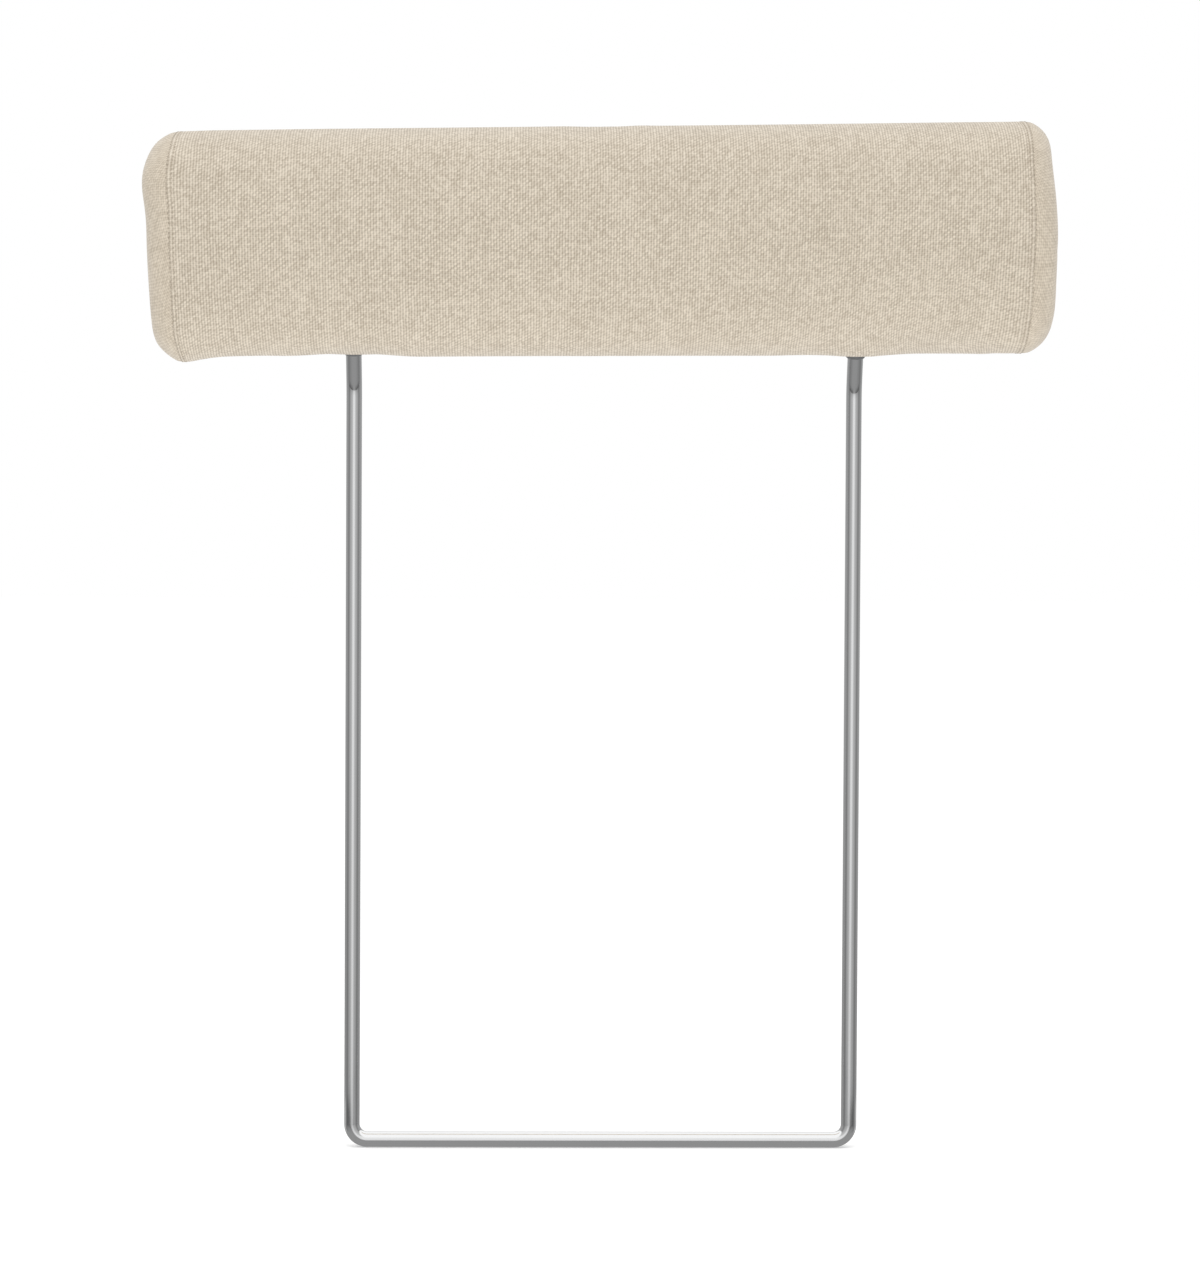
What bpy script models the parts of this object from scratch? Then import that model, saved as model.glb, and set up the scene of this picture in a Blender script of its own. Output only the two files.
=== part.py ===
"""Sofa headrest: a long fabric cushion carried on a U-shaped frame of chromed rod.

The frame stands upright with its bottom rail on z = 0 and the origin under the middle of the rail.
+X runs along the cushion, the cushion's front faces -Y, and the legs bend forward just below it.
"""

import math

import bmesh
import bpy
from mathutils import Matrix, Vector

# Clearances
GAP = 0.0003  # between two pieces that touch or seat
SLIDER_PLAY = 0.0006  # between the zip's tapes and the slider's inner plate

# Chromed rod frame
ROD_DIAMETER = 0.012
LEG_SPACING = 0.385  # between the centre lines of the legs
LEG_HEIGHT = 0.5805  # from the rail's centre line to the forward bend
RAIL_BEND_RADIUS = 0.012  # centre line of the two bottom corners
KICK_ANGLE = math.radians(20.0)  # the legs lean forward by this above the bend
KICK_BEND_RADIUS = 0.020
NECK_LENGTH = 0.028  # along the rod, from the forward bend to the cushion's underside
ROD_INSERTION = 0.100  # length of rod inside the cushion

# Cushion, measured square to the leaning rods
SEAM_SPAN = 0.650  # between the two end seams
CUSHION_HEIGHT = 0.1735
CUSHION_DEPTH = 0.124
SECTION_POWER = 2.4  # 2 is an ellipse, more is squarer
END_ROUND = 0.018  # radius of the soft edge outside each seam
END_CROWN = 0.003  # how far the middle of an end panel domes beyond that edge
COVER_THICKNESS = 0.0012
WADDING_THICKNESS = 0.008

# Core board, inside the foam
BOARD_END_MARGIN = 0.025  # from the board's ends to the seams
BOARD_EDGE_MARGIN = 0.027  # from the board's long edges to the top and underside
BOARD_THICKNESS = 0.012
BOARD_CORNER = 0.012
BOARD_CHAMFER = 0.001

# Rod sockets, moulded, screwed to the front of the board
ROD_OFFSET = -0.010  # the rods enter this far in front of the cushion's middle plane
SOCKET_WALL = 0.0022
NECK_WALL = 0.0010
LIP_WALL = 0.0007
LIP_PROUD = 0.0010  # how far the lip stands out of the fabric
SOCKET_SHOULDER = 0.022  # height above the underside where the neck widens
SOCKET_ROOF = 0.0025
PLATE_RISE = 0.067  # from the cushion's underside to the middle of the screw plate
PLATE_MARGIN = 0.0065  # from the screws to the plate's edges
PLATE_THICKNESS = 0.003
PLATE_CORNER = 0.006
RIB_THICKNESS = 0.002
RIB_SETBACK = 0.005  # from the ribs' ends to the plate's edges
RIB_SPACING = 0.024

# Pan head screws
SCREW_SPACING_X = 0.031
SCREW_SPACING_Z = 0.046
SCREW_HEAD_RADIUS = 0.0035
SCREW_HEAD_HEIGHT = 0.0022
SCREW_CROWN_RADIUS = 0.0021
SCREW_RIM_HEIGHT = 0.0010
SCREW_SHANK_RADIUS = 0.0016
SCREW_LENGTH = 0.013
SCREW_POINT = 0.003

# Zip along the rear underside
ZIP_SETBACK = 0.020  # the zip line lies this far behind the cushion's middle plane
ZIP_END_MARGIN = 0.045  # from the ends of the slot in the cover to the seams
ZIP_SLOT_MARGIN = 0.0012  # fabric stands this far from the coils
ZIP_TAPE_WIDTH = 0.012
ZIP_TAPE_THICKNESS = 0.0006
ZIP_TAPE_OVERRUN = 0.010  # the tapes run on past each end of the slot
ZIP_COIL_WIDTH = 0.0023
ZIP_COIL_HEIGHT = 0.0018
ZIP_STOP_LENGTH = 0.0030
ZIP_STOP_HEIGHT = 0.0026
ZIP_EDGE_ROUND = 0.0004
SLIDER_LENGTH = 0.0105
SLIDER_LAP = 0.00145  # the slider's plates reach this far past the coils
SLIDER_PLATE = 0.0010
SLIDER_POST = 0.0005
POST_SETBACK = 0.0010  # from the post to each end of the plates
BRIDGE_WIDTH = 0.0022
BRIDGE_LENGTH = 0.0080
BRIDGE_RISE = 0.0024
BRIDGE_WALL = 0.0009

# Facets
ROD_BEVEL_STEPS = 11
ROD_SIDES = 4 + 2 * ROD_BEVEL_STEPS
BORE_SIDES = 32
SCREW_SIDES = 16
SECTION_POINTS = 56
WALK_STEPS = 1440
TAPE_POINTS = 7
CORNER_STEPS = 6
KICK_STEPS = 4
RAIL_BEND_STEPS = 8
END_ROUND_STEPS = 5
END_RINGS = (1.0, 0.75, 0.5, 0.25)
MERGE = 0.00001

# Derived sizes and places, the cushion's from its own centre with z along the rods
HALF_HEIGHT = CUSHION_HEIGHT / 2
HALF_DEPTH = CUSHION_DEPTH / 2
ROD_RADIUS = ROD_DIAMETER / 2
RAIL_HEIGHT = ROD_RADIUS * math.cos(math.pi / ROD_SIDES)  # the rail's lowest facet lies on z = 0
KICK_HEIGHT = RAIL_HEIGHT + LEG_HEIGHT
ROD_SHARE = abs(ROD_OFFSET) / HALF_DEPTH
UNDERSIDE = -HALF_HEIGHT * (1 - ROD_SHARE**SECTION_POWER) ** (1 / SECTION_POWER)
ROD_END = UNDERSIDE + ROD_INSERTION
CUSHION_LIFT = NECK_LENGTH - UNDERSIDE  # from the forward bend to the cushion's centre
WADDING_INSET = COVER_THICKNESS + GAP
FOAM_INSET = WADDING_INSET + WADDING_THICKNESS + GAP
FOAM_LENGTH = SEAM_SPAN - 2 * FOAM_INSET
BORE_RADIUS = ROD_RADIUS + GAP
SOCKET_RADIUS = BORE_RADIUS + SOCKET_WALL
NECK_RADIUS = BORE_RADIUS + NECK_WALL
LIP_RADIUS = BORE_RADIUS + LIP_WALL
BORE_END = ROD_END + GAP
SOCKET_TOP = BORE_END + SOCKET_ROOF
PLATE_HEIGHT_MIDDLE = UNDERSIDE + PLATE_RISE
PLATE_WIDTH = SCREW_SPACING_X + 2 * PLATE_MARGIN
PLATE_HEIGHT = SCREW_SPACING_Z + 2 * PLATE_MARGIN
SCREW_HOLE_RADIUS = SCREW_SHANK_RADIUS + GAP
BOARD_LENGTH = SEAM_SPAN - 2 * BOARD_END_MARGIN
BOARD_HEIGHT = CUSHION_HEIGHT - 2 * BOARD_EDGE_MARGIN
BOARD_FRONT = ROD_OFFSET + SOCKET_RADIUS + GAP
ZIP_ANGLE = -math.acos((ZIP_SETBACK / HALF_DEPTH) ** (SECTION_POWER / 2))
ZIP_SLOT_LENGTH = SEAM_SPAN - 2 * ZIP_END_MARGIN
COIL_INNER = SLIDER_POST / 2 + GAP
COIL_OUTER = COIL_INNER + ZIP_COIL_WIDTH
COIL_BASE = -COVER_THICKNESS
COIL_RUN = ZIP_SLOT_LENGTH - 2 * (ZIP_STOP_LENGTH + 2 * GAP)
TAPE_OUTER = COIL_INNER + ZIP_TAPE_WIDTH
SIDES = (("left", -1), ("right", 1))
STAND_UP = Matrix.Rotation(math.radians(90), 4, "X")


# Scene helpers
def clear_scene():
    for old in list(bpy.data.objects):
        bpy.data.objects.remove(old, do_unlink=True)


def new_collection(name):
    collection = bpy.data.collections.new(name)
    bpy.context.scene.collection.children.link(collection)
    return collection


def make_material(name, colour, roughness, metallic=0.0):
    material = bpy.data.materials.new(name)
    material.use_nodes = True
    shader = material.node_tree.nodes["Principled BSDF"]
    shader.inputs["Base Color"].default_value = (*colour, 1.0)
    shader.inputs["Roughness"].default_value = roughness
    shader.inputs["Metallic"].default_value = metallic
    return material


def make_empty(name, parent, matrix):
    empty = bpy.data.objects.new(name, None)
    empty.empty_display_size = 0.03
    empty.matrix_basis = matrix
    empty.parent = parent
    PARTS.objects.link(empty)
    return empty


def form_mesh(name, form):
    mesh = bpy.data.meshes.new(name)
    form.to_mesh(mesh)
    form.free()
    return mesh


def add_part(name, mesh, material, parent):
    """Links a mesh as a named sub-part, shaded smooth between its sharp edges."""
    mesh.shade_smooth()
    mesh.set_sharp_from_angle(angle=math.radians(35))
    mesh.materials.append(material)
    part = bpy.data.objects.new(name, mesh)
    part.parent = parent
    PARTS.objects.link(part)
    return part


def add_cutter(mesh, parent):
    """A cutter shows as wire and isn't rendered."""
    cutter = bpy.data.objects.new(mesh.name, mesh)
    cutter.parent = parent
    cutter.display_type = "WIRE"
    cutter.hide_render = True
    CUTTERS.objects.link(cutter)
    return cutter


def combine(part, cutter_mesh, parent, operation="DIFFERENCE"):
    boolean = part.modifiers.new(cutter_mesh.name, "BOOLEAN")
    boolean.operation = operation
    boolean.solver = "EXACT"
    boolean.object = add_cutter(cutter_mesh, parent)


def box_mesh(name, low, high):
    form = bmesh.new()
    bmesh.ops.create_cube(form, size=1.0)
    size = Vector(high) - Vector(low)
    centre = (Vector(high) + Vector(low)) / 2
    bmesh.ops.scale(form, vec=size, verts=form.verts)
    bmesh.ops.translate(form, vec=centre, verts=form.verts)
    return form_mesh(name, form)


def cylinder_mesh(name, radius, start, end, sides):
    """A cylinder between two points."""
    start = Vector(start)
    run = Vector(end) - start
    turn = run.to_track_quat("Z", "Y").to_matrix().to_4x4()
    place = Matrix.Translation(start + run / 2) @ turn
    form = bmesh.new()
    bmesh.ops.create_cone(
        form, cap_ends=True, segments=sides, radius1=radius, radius2=radius, depth=run.length, matrix=place
    )
    return form_mesh(name, form)


def prism_mesh(name, outline, pull):
    """A flat outline of points, pulled into a solid."""
    form = bmesh.new()
    face = form.faces.new([form.verts.new(point) for point in outline])
    pulled = bmesh.ops.extrude_face_region(form, geom=[face])["geom"]
    corners = [item for item in pulled if isinstance(item, bmesh.types.BMVert)]
    bmesh.ops.translate(form, vec=pull, verts=corners)
    bmesh.ops.recalc_face_normals(form, faces=form.faces)
    return form_mesh(name, form)


def plate_mesh(name, width, height, corner, thickness, chamfer, place):
    """A flat plate with round corners: an outline curve filled and given thickness."""
    curve = bpy.data.curves.new(name, "CURVE")
    curve.dimensions = "2D"
    curve.fill_mode = "BOTH"
    curve.extrude = thickness / 2 - chamfer
    curve.bevel_depth = chamfer
    curve.bevel_resolution = 0
    curve.offset = -chamfer
    points = []
    for quarter, (side_x, side_y) in enumerate(((1, 1), (-1, 1), (-1, -1), (1, -1))):
        for step in range(CORNER_STEPS + 1):
            angle = math.radians(90) * (quarter + step / CORNER_STEPS)
            x = side_x * (width / 2 - corner) + corner * math.cos(angle)
            y = side_y * (height / 2 - corner) + corner * math.sin(angle)
            points.append((x, y))
    spline = curve.splines.new("POLY")
    spline.points.add(len(points) - 1)
    for point, (x, y) in zip(spline.points, points):
        point.co = (x, y, 0, 1)
    spline.use_cyclic_u = True
    return curve_mesh(curve, place)


def curve_mesh(curve, place):
    """A curve as a mesh with its caps welded, moved to its place."""
    holder = bpy.data.objects.new(curve.name, curve)
    bpy.context.scene.collection.objects.link(holder)
    bpy.context.view_layer.update()
    shown = holder.evaluated_get(bpy.context.evaluated_depsgraph_get())
    mesh = bpy.data.meshes.new_from_object(shown)
    bpy.data.objects.remove(holder, do_unlink=True)
    mesh.transform(place)
    form = bmesh.new()
    form.from_mesh(mesh)
    bmesh.ops.remove_doubles(form, verts=form.verts, dist=MERGE)
    form.to_mesh(mesh)
    form.free()
    return mesh


def round_edges(part, width):
    bevel = part.modifiers.new("round", "BEVEL")
    bevel.width = width
    bevel.segments = 2


# Cushion section, drawn square to the rods: y runs back and z runs up along them
def section_point(inset, angle):
    cosine = math.cos(angle)
    sine = math.sin(angle)
    y = (HALF_DEPTH - inset) * math.copysign(abs(cosine) ** (2 / SECTION_POWER), cosine)
    z = (HALF_HEIGHT - inset) * math.copysign(abs(sine) ** (2 / SECTION_POWER), sine)
    return Vector((0, y, z))


def section_walk(inset):
    """Points once round the section from the zip line, and the distance walked to each."""
    points = [
        section_point(inset, ZIP_ANGLE + math.tau * step / WALK_STEPS) for step in range(WALK_STEPS + 1)
    ]
    walked = [0.0]
    for first, second in zip(points, points[1:]):
        walked.append(walked[-1] + (second - first).length)
    return points, walked


def section_arc(inset, start, end, count):
    """Points evenly spaced along the section between two distances from the zip line."""
    points, walked = section_walk(inset)
    around = walked[-1]
    arc = []
    for step in range(count):
        distance = (start + (end - start) * step / (count - 1)) % around
        above = next(index for index, value in enumerate(walked) if value > distance)
        share = (distance - walked[above - 1]) / (walked[above] - walked[above - 1])
        arc.append(points[above - 1].lerp(points[above], share))
    return arc


def section_length(inset):
    return section_walk(inset)[1][-1]


def open_strip(form, places, x):
    """A chain of edges across the cushion at one place along it."""
    corners = [form.verts.new((x, place.y, place.z)) for place in places]
    return [form.edges.new(pair) for pair in zip(corners, corners[1:])]


def section_ring(form, inset, x):
    """A closed ring of edges round the section at one place along the cushion."""
    around = section_length(inset)
    places = section_arc(inset, 0, around * (1 - 1 / SECTION_POINTS), SECTION_POINTS)
    ring = open_strip(form, places, x)
    ring.append(form.edges.new((ring[-1].verts[1], ring[0].verts[0])))
    return ring


def pull_edges(form, edges, shift, scale_y=1.0, scale_z=1.0):
    """Pulls edges along the cushion and shrinks them about its centre line."""
    pulled = bmesh.ops.extrude_edge_only(form, edges=edges)["geom"]
    corners = [item for item in pulled if isinstance(item, bmesh.types.BMVert)]
    bmesh.ops.scale(form, vec=(1, scale_y, scale_z), verts=corners)
    bmesh.ops.translate(form, vec=(shift, 0, 0), verts=corners)
    return [item for item in pulled if isinstance(item, bmesh.types.BMEdge)]


def close_dome(form, edges, side, inset):
    """Carries a ring outwards over the soft edge and the crowned end panel, and closes it."""
    height = HALF_HEIGHT - inset
    depth = HALF_DEPTH - inset
    radius = END_ROUND - inset
    last_drop = 0.0
    last_rise = 0.0
    for step in range(1, END_ROUND_STEPS + 1):
        turn = math.radians(90 * step / END_ROUND_STEPS)
        drop = radius * (1 - math.cos(turn))
        rise = radius * math.sin(turn)
        scale_y = (depth - drop) / (depth - last_drop)
        scale_z = (height - drop) / (height - last_drop)
        edges = pull_edges(form, edges, side * (rise - last_rise), scale_y, scale_z)
        last_drop = drop
        last_rise = rise
    for outer, inner in zip(END_RINGS, END_RINGS[1:]):
        rise = END_CROWN * (outer**2 - inner**2)
        edges = pull_edges(form, edges, side * rise, inner / outer, inner / outer)
    bmesh.ops.contextual_create(form, geom=edges)


def face_away(form):
    """Turns a skin's faces away from the cushion's centre line between the seams."""
    bmesh.ops.recalc_face_normals(form, faces=form.faces)
    outward = 0.0
    for face in form.faces:
        middle = face.calc_center_median()
        nearest = Vector((max(-SEAM_SPAN / 2, min(SEAM_SPAN / 2, middle.x)), 0, 0))
        outward += face.calc_area() * face.normal.dot(middle - nearest)
    if outward < 0:
        bmesh.ops.reverse_faces(form, faces=form.faces)


def add_skin(name, form, material, thickness):
    """An open skin of the cushion that gets its thickness inwards."""
    face_away(form)
    skin = add_part(name, form_mesh(name, form), material, CUSHION_AXIS)
    wall = skin.modifiers.new("wall", "SOLIDIFY")
    wall.thickness = thickness
    wall.offset = -1
    wall.use_even_offset = True
    return skin


# Frame
def bend(corner, before, after, radius, steps):
    """Points of the arc that rounds the corner between two straight runs."""
    before = (Vector(before) - Vector(corner)).normalized()
    after = (Vector(after) - Vector(corner)).normalized()
    half = before.angle(after) / 2
    middle = (before + after).normalized()
    centre = Vector(corner) + middle * (radius / math.sin(half))
    start = Vector(corner) + before * (radius / math.tan(half)) - centre
    axis = start.cross(-before).normalized()
    sweep = math.pi - 2 * half
    return [centre + Matrix.Rotation(sweep * step / steps, 3, axis) @ start for step in range(steps + 1)]


def rod_path():
    """The rod's centre line, from the left top end round the rail to the right top end."""
    lean = Vector((0, -math.sin(KICK_ANGLE), math.cos(KICK_ANGLE)))
    kick = Vector((-LEG_SPACING / 2, 0, KICK_HEIGHT))
    foot = Vector((-LEG_SPACING / 2, 0, RAIL_HEIGHT))
    middle = Vector((0, 0, RAIL_HEIGHT))
    top = kick + lean * (NECK_LENGTH + ROD_INSERTION)
    left = [top]
    left += bend(kick, top, foot, KICK_BEND_RADIUS, KICK_STEPS)
    left += bend(foot, kick, middle, RAIL_BEND_RADIUS, RAIL_BEND_STEPS)
    right = [Vector((-point.x, point.y, point.z)) for point in reversed(left)]
    return left + right


def build_frame():
    curve = bpy.data.curves.new("support_frame", "CURVE")
    curve.dimensions = "3D"
    curve.bevel_depth = ROD_RADIUS
    curve.bevel_resolution = ROD_BEVEL_STEPS
    curve.use_fill_caps = True
    curve.twist_mode = "MINIMUM"
    path = rod_path()
    spline = curve.splines.new("POLY")
    spline.points.add(len(path) - 1)
    for point, place in zip(spline.points, path):
        point.co = (*place, 1)
        point.tilt = math.pi / ROD_SIDES  # turns a facet, not an edge, straight down
    spline.use_smooth = True
    curve.materials.append(CHROME)
    PARTS.objects.link(bpy.data.objects.new("support_frame", curve))


# Sockets and their screws
def socket_tube(name):
    """The turned tube of a socket: a closed wall with a blind bore, its axis on local z."""
    mouth = UNDERSIDE - LIP_PROUD
    shoulder = UNDERSIDE + SOCKET_SHOULDER
    profile = (
        (0, SOCKET_TOP),
        (SOCKET_RADIUS, SOCKET_TOP),
        (SOCKET_RADIUS, shoulder),
        (NECK_RADIUS, shoulder - (SOCKET_RADIUS - NECK_RADIUS)),
        (NECK_RADIUS, mouth + LIP_WALL),
        (LIP_RADIUS, mouth),
        (BORE_RADIUS + LIP_WALL / 2, mouth),
        (BORE_RADIUS, mouth + LIP_WALL),
        (BORE_RADIUS, BORE_END),
        (0, BORE_END),
    )
    form = bmesh.new()
    corners = [form.verts.new((radius, 0, height)) for radius, height in profile]
    edges = [form.edges.new(pair) for pair in zip(corners, corners[1:])]
    bmesh.ops.spin(
        form, geom=corners + edges, axis=(0, 0, 1), cent=(0, 0, 0), angle=math.tau, steps=BORE_SIDES, use_merge=True
    )
    bmesh.ops.remove_doubles(form, verts=form.verts, dist=MERGE)
    bmesh.ops.recalc_face_normals(form, faces=form.faces)
    return form_mesh(name, form)


def rib_mesh(name, height):
    """A tapered rib that braces the tube on the plate."""
    root = SOCKET_RADIUS - PLATE_THICKNESS / 2
    half_width = PLATE_WIDTH / 2 - RIB_SETBACK
    low = height - RIB_THICKNESS / 2
    outline = (
        (-half_width, root, low),
        (half_width, root, low),
        (NECK_RADIUS, 0, low),
        (-NECK_RADIUS, 0, low),
    )
    return prism_mesh(name, outline, (0, 0, RIB_THICKNESS))


def screw_places():
    """The four screws of a socket, from its axis and the cushion's centre."""
    return [
        (side_x * SCREW_SPACING_X / 2, PLATE_HEIGHT_MIDDLE + side_z * SCREW_SPACING_Z / 2)
        for side_z in (1, -1)
        for side_x in (-1, 1)
    ]


def build_socket(side_name, side):
    name = f"rod_socket_{side_name}"
    place = Matrix.Translation((side * LEG_SPACING / 2, ROD_OFFSET, 0))
    axis = make_empty(f"socket_axis_{side_name}", CUSHION_AXIS, place)
    socket = add_part(name, socket_tube(name), SOCKET_PLASTIC, axis)
    plate_place = Matrix.Translation((0, SOCKET_RADIUS - PLATE_THICKNESS / 2, PLATE_HEIGHT_MIDDLE)) @ STAND_UP
    plate = plate_mesh(
        f"{name}_plate", PLATE_WIDTH, PLATE_HEIGHT, PLATE_CORNER, PLATE_THICKNESS, 0.0, plate_place
    )
    combine(socket, plate, axis, "UNION")
    for number, step in enumerate((-1, 1), start=1):
        height = PLATE_HEIGHT_MIDDLE + step * RIB_SPACING / 2
        combine(socket, rib_mesh(f"{name}_rib_{number}", height), axis, "UNION")
    bore_start = (0, 0, UNDERSIDE)
    bore = cylinder_mesh(f"{name}_bore", BORE_RADIUS, bore_start, (0, 0, BORE_END), BORE_SIDES)
    combine(socket, bore, axis)
    for number, (x, z) in enumerate(screw_places(), start=1):
        back = (x, SOCKET_RADIUS + PLATE_THICKNESS, z)
        hole = cylinder_mesh(f"{name}_hole_{number}", SCREW_HOLE_RADIUS, (x, 0, z), back, SCREW_SIDES)
        combine(socket, hole, axis)
        build_screw(f"socket_screw_{side_name}_{number}", x, z, axis)


def build_screw(name, x, z, axis):
    """A pan head screw that points back through the plate into the board."""
    profile = (
        (0, SCREW_HEAD_HEIGHT),
        (SCREW_CROWN_RADIUS, SCREW_HEAD_HEIGHT),
        (SCREW_HEAD_RADIUS, SCREW_RIM_HEIGHT),
        (SCREW_HEAD_RADIUS, 0),
        (SCREW_SHANK_RADIUS, 0),
        (SCREW_SHANK_RADIUS, SCREW_POINT - SCREW_LENGTH),
        (0, -SCREW_LENGTH),
    )
    form = bmesh.new()
    corners = [form.verts.new((radius, 0, height)) for radius, height in profile]
    for pair in zip(corners, corners[1:]):
        form.edges.new(pair)
    screw = add_part(name, form_mesh(name, form), SCREW_STEEL, axis)
    seat = SOCKET_RADIUS - PLATE_THICKNESS - GAP
    screw.matrix_basis = Matrix.Translation((x, seat, z)) @ STAND_UP
    turn = screw.modifiers.new("turn", "SCREW")
    turn.steps = SCREW_SIDES
    turn.render_steps = SCREW_SIDES
    turn.use_merge_vertices = True
    turn.merge_threshold = MERGE


def build_board():
    place = Matrix.Translation((0, BOARD_FRONT + BOARD_THICKNESS / 2, 0)) @ STAND_UP
    mesh = plate_mesh(
        "core_board", BOARD_LENGTH, BOARD_HEIGHT, BOARD_CORNER, BOARD_THICKNESS, BOARD_CHAMFER, place
    )
    board = add_part("core_board", mesh, PLYWOOD, CUSHION_AXIS)
    for side_name, side in SIDES:
        for number, (x, z) in enumerate(screw_places(), start=1):
            across = side * LEG_SPACING / 2 + x
            front = (across, BOARD_FRONT - BOARD_THICKNESS, z)
            back = (across, BOARD_FRONT + 2 * BOARD_THICKNESS, z)
            name = f"board_hole_{side_name}_{number}"
            hole = cylinder_mesh(name, SCREW_HOLE_RADIUS, front, back, SCREW_SIDES)
            combine(board, hole, CUSHION_AXIS)


# Foam and wadding
def foam_block(name, plane, direction):
    """The foam's section along the cushion, kept on one side of a plane across its depth."""
    form = bmesh.new()
    ring = section_ring(form, FOAM_INSET, -FOAM_LENGTH / 2)
    bmesh.ops.contextual_create(form, geom=pull_edges(form, ring, FOAM_LENGTH))
    bmesh.ops.contextual_create(form, geom=ring)
    everything = form.verts[:] + form.edges[:] + form.faces[:]
    cut = bmesh.ops.bisect_plane(
        form, geom=everything, plane_co=(0, plane, 0), plane_no=(0, direction, 0), clear_inner=True
    )["geom_cut"]
    bmesh.ops.contextual_create(form, geom=[item for item in cut if isinstance(item, bmesh.types.BMEdge)])
    bmesh.ops.recalc_face_normals(form, faces=form.faces)
    return add_part(name, form_mesh(name, form), FOAM, CUSHION_AXIS)


def build_foam():
    """Two blocks that meet in the plane of the board's front, with room for what they hold."""
    front_foam = foam_block("foam_front", BOARD_FRONT - GAP / 2, -1)
    back_foam = foam_block("foam_back", BOARD_FRONT + GAP / 2, 1)
    beyond = BOARD_FRONT + BOARD_THICKNESS
    half_length = BOARD_LENGTH / 2 + GAP
    half_height = BOARD_HEIGHT / 2 + GAP
    pocket = box_mesh(
        "board_pocket",
        (-half_length, BOARD_FRONT - BOARD_THICKNESS, -half_height),
        (half_length, beyond + GAP, half_height),
    )
    combine(back_foam, pocket, CUSHION_AXIS)
    for side_name, side in SIDES:
        centre = side * LEG_SPACING / 2
        clear = SOCKET_RADIUS + GAP
        channel = box_mesh(
            f"socket_channel_{side_name}",
            (centre - clear, ROD_OFFSET - clear, UNDERSIDE - SOCKET_SHOULDER),
            (centre + clear, beyond, SOCKET_TOP + GAP),
        )
        combine(front_foam, channel, CUSHION_AXIS)
        half_width = PLATE_WIDTH / 2 + GAP
        half_plate = PLATE_HEIGHT / 2 + GAP
        deepest = min(ROD_OFFSET, BOARD_FRONT - PLATE_THICKNESS - SCREW_HEAD_HEIGHT - GAP) - GAP
        recess = box_mesh(
            f"plate_recess_{side_name}",
            (centre - half_width, deepest, PLATE_HEIGHT_MIDDLE - half_plate),
            (centre + half_width, beyond, PLATE_HEIGHT_MIDDLE + half_plate),
        )
        combine(front_foam, recess, CUSHION_AXIS)


def socket_hole(name, side):
    """Cutter for the hole in a skin that a socket's neck passes through."""
    x = side * LEG_SPACING / 2
    low = (x, ROD_OFFSET, UNDERSIDE - SOCKET_SHOULDER)
    high = (x, ROD_OFFSET, UNDERSIDE + SOCKET_SHOULDER)
    return cylinder_mesh(name, NECK_RADIUS + GAP, low, high, BORE_SIDES)


def build_wadding():
    """A sheet of wadding round the foam, whose two edges stop either side of the zip."""
    form = bmesh.new()
    edge = TAPE_OUTER + GAP
    around = section_length(WADDING_INSET)
    places = section_arc(WADDING_INSET, edge, around - edge, SECTION_POINTS)
    pull_edges(form, open_strip(form, places, -FOAM_LENGTH / 2), FOAM_LENGTH)
    wadding = add_skin("wadding_wrap", form, WADDING, WADDING_THICKNESS)
    for side_name, side in SIDES:
        combine(wadding, socket_hole(f"wadding_hole_{side_name}", side), CUSHION_AXIS)


def build_fibre_pad(side_name, side):
    """Loose fibre pad that fills the domed end between the foam and the end panel."""
    name = f"fibre_pad_{side_name}"
    inner = FOAM_LENGTH / 2 + GAP
    form = bmesh.new()
    ring = section_ring(form, WADDING_INSET, side * inner)
    edges = pull_edges(form, ring, side * (SEAM_SPAN / 2 - inner))
    bmesh.ops.contextual_create(form, geom=ring)
    close_dome(form, edges, side, WADDING_INSET)
    bmesh.ops.recalc_face_normals(form, faces=form.faces)
    add_part(name, form_mesh(name, form), WADDING, CUSHION_AXIS)


# Cover
def build_sleeve():
    form = bmesh.new()
    length = SEAM_SPAN - GAP
    pull_edges(form, section_ring(form, 0.0, -length / 2), length)
    sleeve = add_skin("cover_sleeve", form, FABRIC, COVER_THICKNESS)
    for side_name, side in SIDES:
        combine(sleeve, socket_hole(f"cover_hole_{side_name}", side), CUSHION_AXIS)
    half_width = COIL_OUTER + ZIP_SLOT_MARGIN
    half_length = ZIP_SLOT_LENGTH / 2
    slot = box_mesh("zip_slot", (-half_length, -half_width, -half_width), (half_length, half_width, half_width))
    combine(sleeve, slot, ZIP_AXIS)


def build_cover_end(side_name, side):
    form = bmesh.new()
    close_dome(form, section_ring(form, 0.0, side * (SEAM_SPAN + GAP) / 2), side, 0.0)
    add_skin(f"cover_end_{side_name}", form, FABRIC, COVER_THICKNESS)


# Zip, in its own frame: y runs across the zip and z out of the cushion
def build_zip_tape(name, side):
    """A tape under one edge of the slot, bent to the cushion's section."""
    form = bmesh.new()
    length = ZIP_SLOT_LENGTH + 2 * ZIP_TAPE_OVERRUN
    places = section_arc(WADDING_INSET, side * COIL_INNER, side * TAPE_OUTER, TAPE_POINTS)
    pull_edges(form, open_strip(form, places, -length / 2), length)
    add_skin(name, form, TAPE, ZIP_TAPE_THICKNESS)


def build_zip_coil(name, side):
    low_y, high_y = sorted((side * COIL_INNER, side * COIL_OUTER))
    mesh = box_mesh(
        name, (-COIL_RUN / 2, low_y, COIL_BASE), (COIL_RUN / 2, high_y, COIL_BASE + ZIP_COIL_HEIGHT)
    )
    round_edges(add_part(name, mesh, COIL, ZIP_AXIS), ZIP_EDGE_ROUND)


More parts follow.
